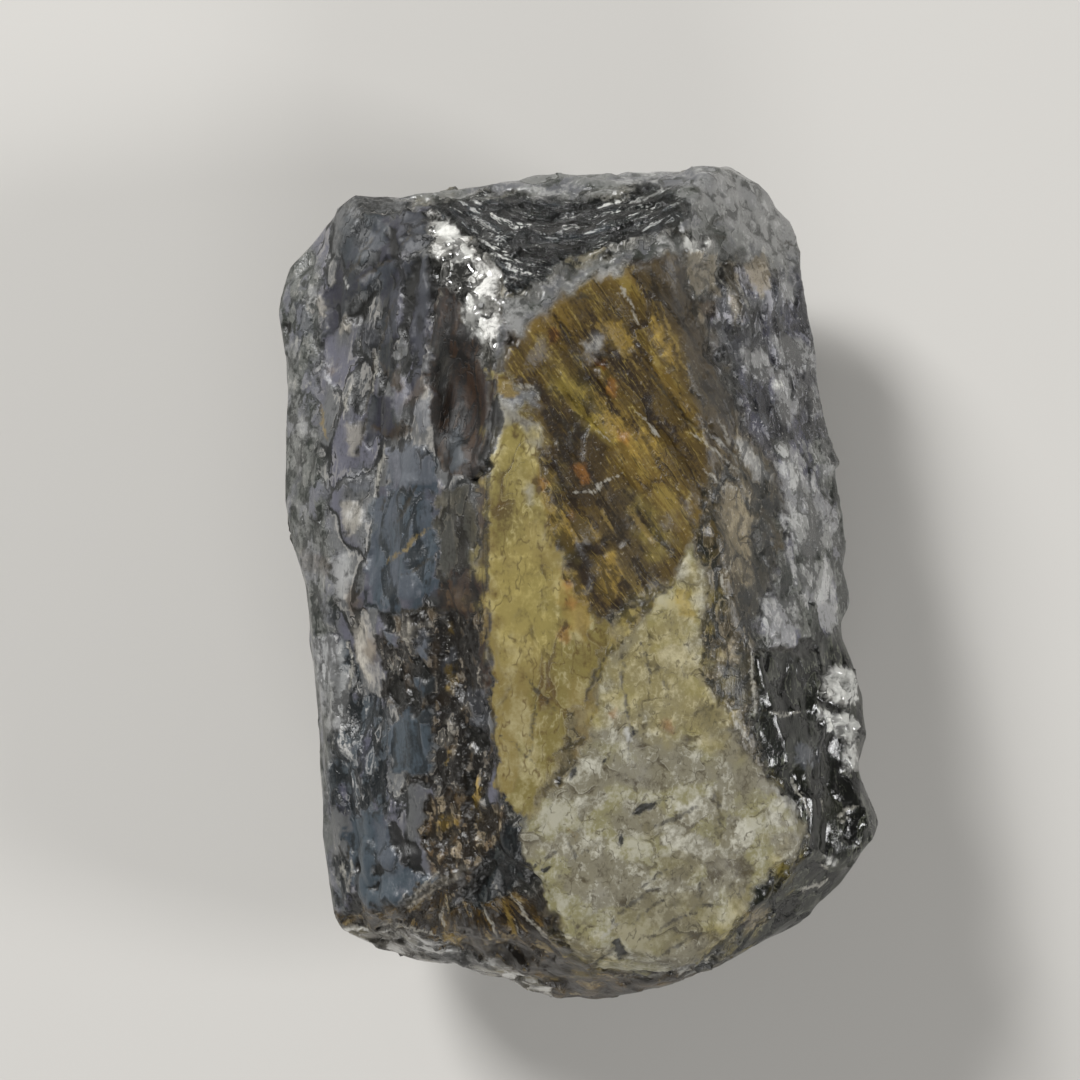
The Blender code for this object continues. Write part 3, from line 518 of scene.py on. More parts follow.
LINES = {
    "crack": [
        (3, [(381, 228), (372, 238), (362, 250), (356, 264), (350, 276)]),
        (3, [(400, 258), (388, 262), (376, 267), (366, 274), (358, 281)]),
        (2, [(413, 228), (408, 238), (404, 246)]),
        (4, [(374, 346), (373, 362), (370, 382), (366, 402), (365, 426), (363, 441), (357, 456)]),
        (3, [(396, 300), (388, 318), (382, 340), (379, 362)]),
        (3, [(403, 346), (401, 366), (396, 388)]),
        (3, [(417, 484), (412, 492), (408, 503), (402, 515), (398, 523)]),
        (2, [(390, 492), (387, 502), (384, 512)]),
        (3, [(434, 527), (420, 533), (408, 546), (394, 560), (382, 572)]),
        (3, [(436, 556), (424, 563), (412, 572), (400, 577)]),
        (4, [(382, 613), (420, 611), (462, 609)]),
        (4, [(497, 268), (499, 286), (500, 310), (505, 328)]),
        (4, [(682, 276), (688, 294), (698, 312)]),
        (4, [(680, 575), (666, 592), (651, 600), (636, 607), (616, 611)]),
        (3, [(590, 609), (600, 617), (612, 616)]),
        (3, [(637, 356), (662, 391), (692, 424), (704, 436)]),
        (4, [(595, 357), (605, 353), (616, 357)]),
        (4, [(574, 299), (584, 295), (595, 300)]),
        (3, [(617, 640), (625, 662), (622, 684), (626, 702), (631, 729), (628, 761)]),
        (3, [(662, 678), (667, 688)]),
        (5, [(648, 828), (668, 820), (684, 814), (698, 807)]),
        (4, [(612, 922), (630, 906), (646, 893), (668, 888)]),
        (3, [(632, 926), (650, 908), (664, 900)]),
        (3, [(640, 888), (656, 878), (668, 868)]),
        (3, [(590, 974), (604, 956), (618, 942)]),
        (3, [(650, 940), (670, 922), (700, 912)]),
        (3, [(660, 956), (690, 938), (712, 932)]),
        (3, [(702, 876), (702, 901)]),
        (3, [(700, 906), (714, 903)]),
        (3, [(712, 786), (720, 806), (722, 828)]),
        (3, [(398, 908), (430, 890), (462, 867)]),
        (4, [(346, 842), (349, 866)]),
        (5, [(490, 340), (488, 480), (487, 560), (489, 640), (493, 720), (499, 800)]),
        (4, [(752, 651), (780, 649), (802, 651)]),
        (3, [(796, 712), (780, 711), (762, 713)]),
        (3, [(640, 640), (646, 652), (652, 690)]),
        (4, [(607, 654), (597, 670), (588, 690), (583, 702)]),
        (3, [(521, 666), (534, 688), (546, 702), (558, 714)]),
        (3, [(536, 698), (533, 724), (529, 756)]),
        (2, [(500, 735), (516, 745), (540, 770)]),
        (3, [(705, 229), (714, 223), (724, 215)]),
        (3, [(702, 241), (716, 236), (730, 238)]),
        (3, [(668, 224), (680, 232), (694, 230)]),
        (3, [(776, 238), (786, 242), (796, 246)]),
        (3, [(798, 855), (796, 868), (790, 880)]),
        (3, [(568, 838), (574, 850), (576, 862)]),
        (3, [(582, 854), (592, 848), (600, 842)]),
        (3, [(545, 858), (552, 854), (558, 850)]),
        (3, [(708, 680), (716, 692), (720, 706)]),
        (3, [(560, 412), (570, 430), (574, 450)]),
        (3, [(600, 500), (606, 514), (610, 530)]),
        (3, [(690, 270), (702, 262), (712, 262)]),
        (3, [(724, 270), (730, 286), (738, 300)]),
        (3, [(740, 262), (746, 282), (756, 300)]),
        (3, [(753, 656), (754, 684), (758, 712)]),
    ],
    # Pale scratches, some of them painted glints along the breaks
    "scratch_and_glint": [
        (3, [(378, 350), (377, 372), (374, 396)]),
        (3, [(352, 384), (346, 402), (344, 420)]),
        (3, [(386, 444), (380, 470), (374, 500)]),
        (3, [(571, 492), (585, 491), (595, 493), (601, 484), (610, 480), (622, 474)]),
        (3, [(596, 430), (604, 436), (612, 442)]),
        (3, [(620, 286), (630, 306), (638, 326)]),
        (3, [(635, 410), (650, 424), (660, 438)]),
        (3, [(520, 384), (532, 388), (540, 400)]),
        (2, [(690, 433), (716, 452), (743, 474)]),
        (2, [(700, 425), (722, 444), (744, 462)]),
        (2, [(705, 470), (722, 486), (738, 490)]),
        (2, [(716, 418), (724, 432), (730, 446)]),
        (3, [(752, 653), (752, 684), (756, 715)]),
        (3, [(770, 713), (786, 714), (802, 712)]),
        (2, [(408, 900), (424, 886), (441, 869)]),
        (3, [(492, 880), (506, 905), (520, 936)]),
        (3, [(508, 890), (530, 920), (554, 944)]),
        (3, [(380, 924), (400, 925), (420, 930), (442, 937)]),
        (3, [(370, 932), (400, 935), (432, 941)]),
        (3, [(480, 902), (488, 918), (498, 936)]),
        (3, [(342, 862), (344, 880), (352, 896)]),
        (3, [(350, 858), (354, 868), (348, 884)]),
        (2, [(780, 792), (788, 806), (798, 822)]),
        (3, [(794, 776), (802, 796), (812, 816)]),
        (3, [(726, 700), (738, 726), (752, 748)]),
        (3, [(732, 560), (722, 580), (728, 600)]),
        (3, [(838, 816), (848, 809), (860, 805)]),
        (2, [(840, 822), (848, 816)]),
        (2, [(820, 800), (824, 812)]),
        (3, [(822, 868), (830, 870)]),
        (3, [(800, 892), (814, 888), (830, 880)]),
        (3, [(736, 278), (742, 292), (750, 310)]),
        (3, [(718, 262), (722, 280), (730, 292)]),
        (3, [(346, 640), (352, 664), (350, 690)]),
        (3, [(388, 662), (394, 672), (397, 682)]),
        (3, [(600, 940), (612, 928), (622, 920)]),
        (3, [(446, 905), (440, 916), (444, 926)]),
    ],
    "gold": [
        (4, [(432, 527), (418, 534), (406, 549), (392, 558), (386, 563)]),
        (4, [(486, 590), (484, 618), (482, 646)]),
        (5, [(629, 504), (640, 524), (656, 547)]),
        (4, [(602, 510), (606, 520), (612, 530)]),
        (5, [(504, 900), (512, 925), (516, 936)]),
        (3, [(590, 322), (610, 336), (640, 372)]),
        (3, [(660, 300), (672, 340), (690, 380)]),
        (3, [(568, 828), (576, 836), (576, 842)]),
        (4, [(454, 748), (448, 756), (446, 764)]),
        (3, [(320, 404), (324, 424), (329, 442)]),
        (3, [(550, 940), (556, 946), (560, 950)]),
    ],
}


# How zones, stains and marks waver: the lengths in mm of a slow and a quick waver, and how
# far each of the two moves a border, in pixels
SLOW_WAVER = (0.8, 0.8, 0.8)
QUICK_WAVER = (0.25, 0.25, 0.25)
ZONE_WAVER = (8.0, 4.0)
STAIN_WAVER = (4.0, 4.0)
MARK_WAVER = (2.5, 1.5)

# A drawn line is a little narrower than it looks in the photograph
LINE_SHARE = 0.8

# The front's zones end, over this many mm, where the surface turns under the stone this far
UNDER_FADE = 3.0
TURNED_UNDER = (-0.45, 0.0)

# Noise: how far apart two seeds lie, what spreads the cells' own numbers, and the strength of
# each octave of grain and the step to the next
GRAIN_SEED_STEP = 7.31
CELL_SEED_STEP = 3.7
CELL_SPREAD = 13.7
GRAIN_ROUGHNESS = 0.9
GRAIN_STEP = 2.1

# How plates bend, how shell-shaped breaks are hollowed, and how far those lie below the skin
BEND_STEP = 2.3
BEND = 0.2
HOLLOW = 0.5
SUNK = 0.15


def new_object(name, data):
    made = bpy.data.objects.new(name, data)
    bpy.context.scene.collection.objects.link(made)
    return made


def frozen(made):
    """The mesh that the object's modifiers make."""
    bpy.context.view_layer.update()
    graph = bpy.context.evaluated_depsgraph_get()
    return bpy.data.meshes.new_from_object(made.evaluated_get(graph))


def per_vertex(mesh, name):
    """Each vertex's place, or its direction out of the surface."""
    values = np.empty(len(mesh.vertices) * 3, np.float32)
    mesh.vertices.foreach_get(name, values)
    return values.reshape(-1, 3).astype(float)


def in_photo(points):
    """Where the camera sees each point, in the photograph's pixels."""
    nearer = CAMERA_AWAY / (CAMERA_AWAY - (points[:, 2] * MM - FRAMED_HEIGHT))
    across = (points[:, 0] * MM - CAMERA_X) / PIXEL * nearer
    up = (points[:, 1] * MM - CAMERA_Y) / PIXEL * nearer
    return np.stack([PHOTO_SIDE / 2 + across, PHOTO_SIDE / 2 - up], axis=1)


def from_photo(place):
    """The place in mm, seen from above, that a pixel of the photograph shows."""
    x = CAMERA_X + (place[0] - PHOTO_SIDE / 2) * PIXEL
    y = CAMERA_Y + (PHOTO_SIDE / 2 - place[1]) * PIXEL
    return np.array([x, y]) / MM


def grain(points, lengths, octaves=3, seed=0):
    """Fractal noise from about -1 to 1, whose features have these lengths in mm."""
    drawn = points / np.array(lengths) + GRAIN_SEED_STEP * seed
    found = [noise.fractal(place, GRAIN_ROUGHNESS, GRAIN_STEP, octaves) for place in drawn.tolist()]
    return np.array(found)


def ramp(values, low, high):
    """0 below low, 1 above high, and a smooth rise between them."""
    share = np.clip((values - low) / (high - low), 0.0, 1.0)
    return share * share * (3.0 - 2.0 * share)


def flakes(points, lengths, seed=0):
    """Broken plates of about these lengths in mm. For each point: its plate's own shade and hue
    from -0.5 to 0.5, how far it is from the nearest seam in mm, below zero on the darker plate,
    and the rise of its leaning plate."""
    narrow = min(lengths)
    found = []
    for x, y, z in (points / np.array(lengths) + CELL_SEED_STEP * seed).tolist():
        bend = noise.noise_vector((BEND_STEP * x, BEND_STEP * y, BEND_STEP * z))
        x, y, z = x + BEND * bend.x, y + BEND * bend.y, z + BEND * bend.z
        (span, next_span, _, _), (centre, next_centre, _, _) = noise.voronoi((x, y, z))
        own = noise.cell_vector(centre * CELL_SPREAD)
        other = noise.cell_vector(next_centre * CELL_SPREAD)
        side = 1.0 if own.x > other.x else -1.0
        rise = (x - centre.x) * (own.y - 0.5) + (y - centre.y) * (own.z - 0.5)
        seam = side * (next_span - span) * 0.5 * narrow
        found.append((own.x - 0.5, own.y - 0.5, seam, 2.0 * rise * narrow))
    return np.array(found).T


def bowls(points, size, lean, seed=0):
    """Shell-shaped breaks: shallow bowls of about this size in mm that lean their own way and
    meet in sharp ridges."""
    heights = []
    for x, y, z in (points / size + CELL_SEED_STEP * seed).tolist():
        height = 1.0
        for span, centre in zip(*noise.voronoi((x, y, z))):
            tip = noise.cell_vector(centre * CELL_SPREAD)
            rise = (x - centre.x) * (tip.x - 0.5) + (y - centre.y) * (tip.y - 0.5)
            rise += (z - centre.z) * (tip.z - 0.5)
            height = min(height, HOLLOW * span * span + 2.0 * lean * rise)
        heights.append(height - SUNK)
    return np.array(heights) * size


def near(places, points, reach):
    """Which places lie within reach of the points' box."""
    low, high = np.min(points, axis=0) - reach, np.max(points, axis=0) + reach
    return np.nonzero(np.all((places > low) & (places < high), axis=1))[0]


def to_stretch(spots, start, run):
    """How far along a straight stretch each spot lies, from 0 to 1, and its gap to it."""
    share = np.clip(((spots - start) @ run) / (run @ run), 0.0, 1.0)
    gap = spots - start - share[:, None] * run
    return share, np.hypot(gap[:, 0], gap[:, 1])


def depth_in_outline(places, outline, reach=40.0):
    """How deep each place lies inside the outline, in pixels. Outside it is below zero."""
    depth = np.full(len(places), -reach)
    corners = np.array(outline, float)
    chosen = near(places, corners, reach)
    spots = places[chosen]
    away = np.full(len(spots), reach)
    inside = np.zeros(len(spots), bool)
    for start, end in zip(corners, np.roll(corners, -1, axis=0)):
        run = end - start
        away = np.minimum(away, to_stretch(spots, start, run)[1])
        if run[1]:
            crossed = (start[1] > spots[:, 1]) != (end[1] > spots[:, 1])
            edge = start[0] + (spots[:, 1] - start[1]) * run[0] / run[1]
            inside ^= crossed & (spots[:, 0] < edge)
    depth[chosen] = np.where(inside, away, -away)
    return depth


def depth_in_line(places, line, width, reach=20.0):
    """The same for a line that is this wide at its middle and tapers to nothing at its ends."""
    depth = np.full(len(places), -reach)
    corners = np.array(line, float)
    chosen = near(places, corners, reach)
    spots = places[chosen]
    runs = corners[1:] - corners[:-1]
    lengths = np.hypot(runs[:, 0], runs[:, 1])
    ends = np.concatenate([[0.0], np.cumsum(lengths)]) / lengths.sum()
    best = np.full(len(spots), -reach)
    for number, (start, run) in enumerate(zip(corners, runs)):
        share, away = to_stretch(spots, start, run)
        part = ends[number] + share * (ends[number + 1] - ends[number])
        half = 0.5 * width * np.sqrt(np.clip(4.0 * part * (1.0 - part), 0.0, 1.0))
        best = np.maximum(best, half - away)
    depth[chosen] = best
    return depth


def zone_depths(points, normals):
    """For each zone, stain and kind of mark: how deep each vertex lies in it, in mm."""
    seen = in_photo(points)
    slow = np.stack([grain(points, SLOW_WAVER, seed=number) for number in (11, 12)], axis=1)
    quick = np.stack([grain(points, QUICK_WAVER, 2, seed=number) for number in (13, 14)], axis=1)
    zones, stains, marks = (seen + far * slow + further * quick
                            for far, further in (ZONE_WAVER, STAIN_WAVER, MARK_WAVER))
    turned = 1.0 - ramp(normals[:, 2], *TURNED_UNDER)
    depths = {}
    for name, outlines in OUTLINES.items():
        depths[name] = np.max([depth_in_outline(zones, outline) for outline in outlines], axis=0)
    for name, (*_, outlines) in STAINS.items():
        depths["stain " + name] = np.max([depth_in_outline(stains, outline) for outline in outlines], axis=0)
    for name in MARKS:
        found = [depth_in_outline(marks, outline) for outline in SPOTS.get(name, ())]
        found += [depth_in_line(marks, line, LINE_SHARE * width) for width, line in LINES.get(name, ())]
        depths["mark " + name] = np.max(found, axis=0)
    return {name: depth * PIXEL / MM - UNDER_FADE * turned for name, depth in depths.items()}


# How each zone lies: its own places, in mm, measured along its plates, streaks or ribs

# The plates' bend towards the top, per mm, and the slant of the brown and gold streaks
PRISM_BEND = 0.011
STREAK_SLANT = math.radians(-56.0)

# The scoop's ripples: where they hang lowest, how they bow at its left and its right, per mm,
# and how much they stretch down into the stone
SCOOP_MIDDLE = -0.8
SCOOP_BOW = (0.10, 0.072)
SCOOP_STRETCH = 0.3

# The foot's ribs: where they fan out from, in the photograph's pixels, and how wide in mm one
# radian of them counts
FAN_ORIGIN = (455.0, 835.0)
FAN_WIDTH = 4.0


def as_it_is(points):
    """With no lie of its own."""
    return points


def up_the_prism(points):
    """Along the plates of the prism, which lean to the right towards the top."""
    x, y = points[:, 0], points[:, 1]
    return np.stack([x - PRISM_BEND * np.maximum(y, 0.0) ** 2, y, points[:, 2]], axis=1)


def down_to_the_right(points):
    """Along the slanting streaks of the brown and gold part, and then across them."""
    x, y = points[:, 0], points[:, 1]
    along = x * math.cos(STREAK_SLANT) + y * math.sin(STREAK_SLANT)
    across = y * math.cos(STREAK_SLANT) - x * math.sin(STREAK_SLANT)
    return np.stack([along, across, points[:, 2]], axis=1)


def along_the_scoop(points):
    """Along the ripples of the scoop at the top, which hang in a shallow bow."""
    x, y = points[:, 0], points[:, 1]
    bow = np.where(x < SCOOP_MIDDLE, *SCOOP_BOW) * (x - SCOOP_MIDDLE) ** 2
    return np.stack([x, y - bow, SCOOP_STRETCH * points[:, 2]], axis=1)


def out_from_the_foot(points):
    """Outwards along the ribs of the fan at the foot, and then across them."""
    spread = points[:, :2] - from_photo(FAN_ORIGIN)
    away = np.hypot(spread[:, 0], spread[:, 1])
    round_it = FAN_WIDTH * np.arctan2(spread[:, 1], spread[:, 0])
    return np.stack([away, round_it, points[:, 2]], axis=1)


# What a zone is where its own row doesn't say otherwise. Lengths are in mm.
USUAL = dict(
    lie=as_it_is,           # which way its plates and hairs run
    plate=(0.8, 1.0, 0.8),  # the lengths of its plates
    contrast=0.3,           # how much their tones differ
    lean=0.25,              # how far they lean
    hair=(0.3, 0.6, 0.3),   # the lengths of its hairs
    hairs=0.25,             # how strong they are
    clouds=0.2,             # how cloudy it is
    tone=0.5,               # its mean tone, from 0 for dark to 1 for pale
    shells=0.0,             # the size of its shell-shaped breaks, or 0 for none
    clear=0.2,              # the share of light that goes through it
    rough=0.3,              # the roughness of its breaks
    height=0.03,            # how far its grit stands out
    grit=0.5,               # how strongly grit mottles it
    crisp=5.0,              # how sharply dark, middle and pale places part
    cracks=0.7,             # how dark its cracks are
    closed=0.3,             # how many of them are closed
    gap=0.10,               # how wide the open ones get
    threads=0.5,            # how clear its hairlines are
    sparks=0.0,             # how bright its painted glints are
    edge=0.1,               # half the width of its soft border
)


def finish(colours, **changes):
    """A zone's look: the colours of its dark, middle and pale places and the one that it drifts
    to, and how it differs from what is usual."""
    return {**USUAL, "colours": colours.split(), **changes}


FINISHES = {
    # The back and the sides: smoky and milky, in slanted plates and shell-shaped breaks
    "back": finish(
        "#24241f #605f5a #a09e97 #76705c", plate=(1.6, 2.4, 1.6), contrast=0.4, lean=0.3,
        hair=(0.3, 0.6, 0.3), hairs=0.4, clouds=0.5, shells=3.0, clear=0.25, grit=0.6, crisp=6.0,
        cracks=1.0, closed=0.2, gap=0.12, threads=0.8, edge=0.1),
    # The left face: grey-blue plates that lie along the prism
    "prism": finish(
        "#222322 #5a5b5b #96938d #5c5c66", lie=up_the_prism, plate=(1.7, 3.4, 1.7), contrast=0.3,
        lean=0.10, hair=(0.2, 0.9, 0.2), hairs=0.14, clear=0.12, rough=0.44, height=0.015, grit=0.3,
        cracks=1.0, closed=0.2, gap=0.14, threads=0.6),
    # Its outer rim, milky and clearer
    "rim": finish(
        "#2f332e #6d6f6b #a8a69f #72737a", lie=up_the_prism, plate=(0.5, 1.0, 0.5), contrast=0.25,
        lean=0.15, hair=(0.25, 0.5, 0.25), hairs=0.2, clear=0.30, cracks=0.5, edge=0.4),
    # Small dark splinters between its plates
    "shards": finish(
        "#15120e #3e3c38 #857f74 #4a3f30", lie=up_the_prism, plate=(0.5, 1.0, 0.5), contrast=0.55,
        lean=0.35, hair=(0.3, 0.5, 0.3), clear=0.10, crisp=7.0, cracks=1.0, closed=0.1, sparks=0.4,
        edge=0.06),
    # Pale and dark streaks beside them
    "streaked": finish(
        "#1a1e20 #444b50 #b2b1ae #4d4d59", lie=up_the_prism, plate=(0.5, 1.3, 0.5), contrast=0.5,
        hair=(0.3, 0.7, 0.3), clear=0.12, crisp=6.0, closed=0.1),
    # Smooth smoky plates at the top left, with long fine hairs
    "upper_plate": finish(
        "#0d0f10 #212528 #3e3e38 #262630", lie=up_the_prism, plate=(1.7, 3.0, 1.7), contrast=0.14,
        lean=0.10, hair=(0.15, 1.2, 0.15), hairs=0.18, clear=0.08, rough=0.55, height=0.012, grit=0.3,
        crisp=4.0, cracks=1.0, threads=0.5, edge=0.05),
    # Steel-blue plates below them
    "plate": finish(
        "#1e2223 #39424a #67676d #484851", lie=up_the_prism, plate=(1.3, 2.4, 1.3), contrast=0.2,
        lean=0.10, hair=(0.2, 0.9, 0.2), hairs=0.15, clear=0.10, rough=0.38, height=0.015, grit=0.3,
        closed=0.4, threads=0.3, edge=0.03),
    # Dull grey plates next to the golden stripe
    "grey_plate": finish(
        "#22201b #3a3a35 #656156 #423f35", lie=up_the_prism, plate=(1.0, 2.2, 1.0), contrast=0.2,
        lean=0.10, hair=(0.25, 1.2, 0.25), hairs=0.2, clear=0.10, rough=0.38, height=0.015, threads=0.3,
        edge=0.05),
    # The brown hollow under the ridge
    "brown": finish(
        "#080401 #221306 #3b2a14 #2a1806", lie=up_the_prism, plate=(0.6, 2.6, 0.6), contrast=0.3,
        lean=0.14, hair=(0.2, 1.6, 0.2), hairs=0.2, clear=0.05, rough=0.6, height=0.012, edge=0.12),
    # The golden stripe: milky yellow, with few fine cracks
    "golden": finish(
        "#5e491c #84773f #beb488 #8c7b44", plate=(1.5, 2.8, 1.5), contrast=0.12, lean=0.05,
        hair=(0.6, 1.1, 0.6), hairs=0.16, clouds=0.40, tone=0.54, clear=0.38, rough=0.46, height=0.008,
        grit=0.35, crisp=3.2, cracks=0.4, closed=0.8, gap=0.035, threads=1.0, edge=0.05),
    # The honey-brown part, with slanting streaks
    "amber": finish(
        "#241806 #4d3d17 #8a783c #64501e", lie=down_to_the_right, plate=(3.6, 1.2, 2.0), contrast=0.30,
        lean=0.16, hair=(1.6, 0.2, 0.9), hairs=0.2, clouds=0.45, clear=0.15, rough=0.40, crisp=4.2,
        cracks=0.5, closed=0.45, gap=0.05, threads=1.0, sparks=0.12, edge=0.4),
    # The thin brownish veil between gold and cream
    "veil": finish(
        "#3a3420 #6a6148 #948a68 #6e6040", plate=(0.7, 0.7, 0.7), contrast=0.25, lean=0.08, clear=0.22,
        height=0.015, grit=0.4, crisp=3.0, edge=0.2),
    # The cream foot of the front: cloudy, with fine cracks
    "cream": finish(
        "#4a4026 #827c66 #cac7b6 #8c865e", plate=(1.5, 1.1, 1.5), contrast=0.10, lean=0.05,
        hair=(0.5, 0.7, 0.5), hairs=0.20, clouds=0.28, tone=0.61, clear=0.34, rough=0.52, height=0.015,
        grit=0.4, crisp=3.7, cracks=0.5, closed=0.75, gap=0.035, threads=1.0, edge=0.16),
    # The scoop at the top, with its dark, glossy ripples, whose pale places are painted highlights
    "ripple": finish(
        "#070908 #2e3230 #dcdcd7 #1e2930", lie=along_the_scoop, plate=(1.5, 0.24, 0.8), contrast=0.55,
        lean=0.9, hair=(0.7, 0.09, 0.4), hairs=0.40, tone=0.57, clear=0.08, rough=0.14, height=0.08,
        grit=0.8, crisp=4.5, cracks=0.9, closed=0.1, threads=0.8, edge=0.15),
    # The frosty rim round the scoop
    "pale": finish(
        "#3c3f39 #7e7f7c #b4b4b1 #6a6b6e", plate=(1.2, 0.8, 1.2), contrast=0.10, lean=0.08,
        hair=(0.35, 0.35, 0.35), hairs=0.14, clouds=0.34, tone=0.54, clear=0.30, rough=0.2, height=0.015,
        grit=0.4, crisp=4.5, cracks=0.7, closed=0.6, threads=0.5, edge=0.3),
    # The broken brown strip right of the cream
    "squiggle": finish(
        "#14140b #3d3522 #8b806a #45391b", plate=(0.9, 1.5, 0.9), contrast=0.22, lean=0.10,
        hair=(0.15, 0.5, 0.15), hairs=0.30, clouds=0.45, clear=0.12, rough=0.34, height=0.02, crisp=6.5,
        threads=1.0, sparks=0.3, edge=0.2),
    # The violet right-hand side, in small glossy breaks
    "violet": finish(
        "#0f1015 #46484d #aeaeb4 #353548", plate=(1.0, 1.5, 1.0), contrast=0.24, lean=0.16,
        hair=(0.2, 0.4, 0.2), hairs=0.30, clouds=0.75, tone=0.44, clear=0.12, rough=0.17, height=0.03,
        grit=0.55, crisp=9.0, cracks=0.8, closed=0.5, threads=0.8, sparks=0.3, edge=0.45),
    # Sugary pale breaks below it
    "sugar": finish(
        "#1d221b #666862 #bbbbb8 #565666", plate=(1.0, 1.5, 1.0), contrast=0.20, lean=0.14,
        hair=(0.2, 0.4, 0.2), hairs=0.30, clouds=0.75, tone=0.49, clear=0.18, rough=0.2, height=0.03,
        grit=0.4, crisp=8.0, cracks=0.8, closed=0.5, threads=1.0, edge=0.35),
    # Near-black glass at the lower right
    "glass": finish(
        "#030402 #0f120b #5a5c50 #1b1d12", plate=(1.2, 2.0, 1.2), contrast=0.26, lean=0.12,
        hair=(0.15, 0.6, 0.15), hairs=0.28, shells=3.0, tone=0.46, clear=0.06, rough=0.15, height=0.01,
        grit=0.6, crisp=6.0, cracks=1.0, closed=0.3, threads=0.9, edge=0.25),
    # Broken brown bits at the lower left
    "foot": finish(
        "#1c160d #3f3728 #8e816b #4b3a22", plate=(0.45, 0.8, 0.45), contrast=0.6, lean=0.5,
        hair=(0.3, 0.3, 0.3), clear=0.10, cracks=0.9, closed=0.1, edge=0.12),
    # The ribbed fan at the foot
    "fan": finish(
        "#1c1408 #4a3c22 #8c7c57 #58441a", lie=out_from_the_foot, plate=(2.0, 0.36, 1.2), contrast=0.4,
        lean=0.5, hair=(1.2, 0.12, 0.5), hairs=0.3, clear=0.12, rough=0.26, closed=0.1, edge=0.15),
    # The dark notch beside it
    "slate": finish(
        "#0b0d0e #1a1f21 #4b4e4c #222726", lie=up_the_prism, plate=(0.5, 1.2, 0.5), contrast=0.35,
        clear=0.08, rough=0.28, edge=0.06),
    # The glossy pale band along the bottom edge
    "band": finish(
        "#38352f #938f87 #e4e2dc #8b8369", plate=(1.6, 0.6, 1.0), contrast=0.45, lean=0.4,
        hair=(0.9, 0.3, 0.5), tone=0.63, clear=0.32, rough=0.14, height=0.01, grit=0.3, closed=0.4,
        edge=0.1),
    # Bright breaks that mirror the light, with a painted highlight in their pale colour
    "highlit_crest": finish(
        "#2a2a28 #7b7a76 #e6e5e0 #8a8984", plate=(1.0, 1.3, 1.0), contrast=0.5, lean=0.35,
        hair=(0.3, 0.3, 0.3), hairs=0.05, shells=3.4, tone=0.50, clear=0.10, rough=0.08, height=0.004,
        grit=0.3, crisp=5.0, cracks=0.8, closed=0.4, threads=0.5, edge=0.1),
}


# Sizes beside a zone's plates: its clouds, and the stretches along which its cracks are open.
# Its grit runs along its hairs, at this share of their lengths.
CLOUD_SIZE = 1.7
CRACK_STRETCH = 0.8
FLOW_SHARE = 0.6

# A crack opens where its noise rises from the first of these to the second, and both are higher
# by the third times the share of closed ones. Painted shade darkens plates beside an open crack,
# as far as the fourth, in mm, and by the fifth.
OPEN_FROM = -0.45
OPEN_TO = -0.25
CLOSED_GAIN = 0.8
SHADE_BESIDE_CRACK = 0.12
CRACK_PAINTED_SHADE = 0.25

# Relief: how high hairs, clouds and shell-shaped breaks stand, and how far the last lean
HAIR_RELIEF = 0.25
CLOUD_RELIEF = 0.10
SHELL_RELIEF = 0.22
SHELL_LEAN = 0.45

# The drift to a zone's fourth colour: what clouds add, where it is full, and its share in pale places
DRIFT_CLOUDS = 0.8
FULL_DRIFT = 0.35
PALE_DRIFT = 0.35

# Stains: the lengths in mm of their patches and of the light and shade at their rims, how far the
# patches reach, how much of a stain's light its dark, middle and pale places have, half the width
# of its step, and between which depths its rim fades, all in mm, and how strong the rim is
PATCHES = (0.7, 0.7, 0.7)
RIM_LIGHTS = (0.5, 0.5, 0.5)
PATCH_REACH = 1.2
STAIN_SHADES = {"dark": 0.35, "middle": 1.0, "pale": 1.5}
STAIN_STEP = 0.08
STAIN_RIM = (0.02, 0.14)
STAIN_RIM_LIGHT = 0.5

# Marks: how far outside one its depth is still kept, and half the width of its step, in mm
MARK_REACH = 0.08
MARK_STEP = 0.06


def linear(code):
    """A hex colour, as a screen shows it, in the linear values that Blender keeps."""
    channels = [int(code[i:i + 2], 16) / 255.0 for i in (1, 3, 5)]
    return [c / 12.92 if c <= 0.04045 else ((c + 0.055) / 1.055) ** 2.4 for c in channels]


def fine_copy(node):
    """A copy of the plain solid, closed and then remeshed finely enough to be shaped."""
    bm = bmesh.new()
    bm.from_mesh(node.data)
    bmesh.ops.remove_doubles(bm, verts=bm.verts, dist=MERGE_WITHIN)
    mesh = bpy.data.meshes.new("rough_iolite")
    bm.to_mesh(mesh)
    bm.free()
    stone = new_object("rough_iolite", mesh)
    fine = stone.modifiers.new("fine", "REMESH")
    fine.mode = "VOXEL"
    fine.voxel_size = FINE_GRAIN
    soften = stone.modifiers.new("soften", "SMOOTH")
    soften.factor = 0.5
    soften.iterations = 5
    stone.data = frozen(stone)
    stone.modifiers.clear()
    return stone


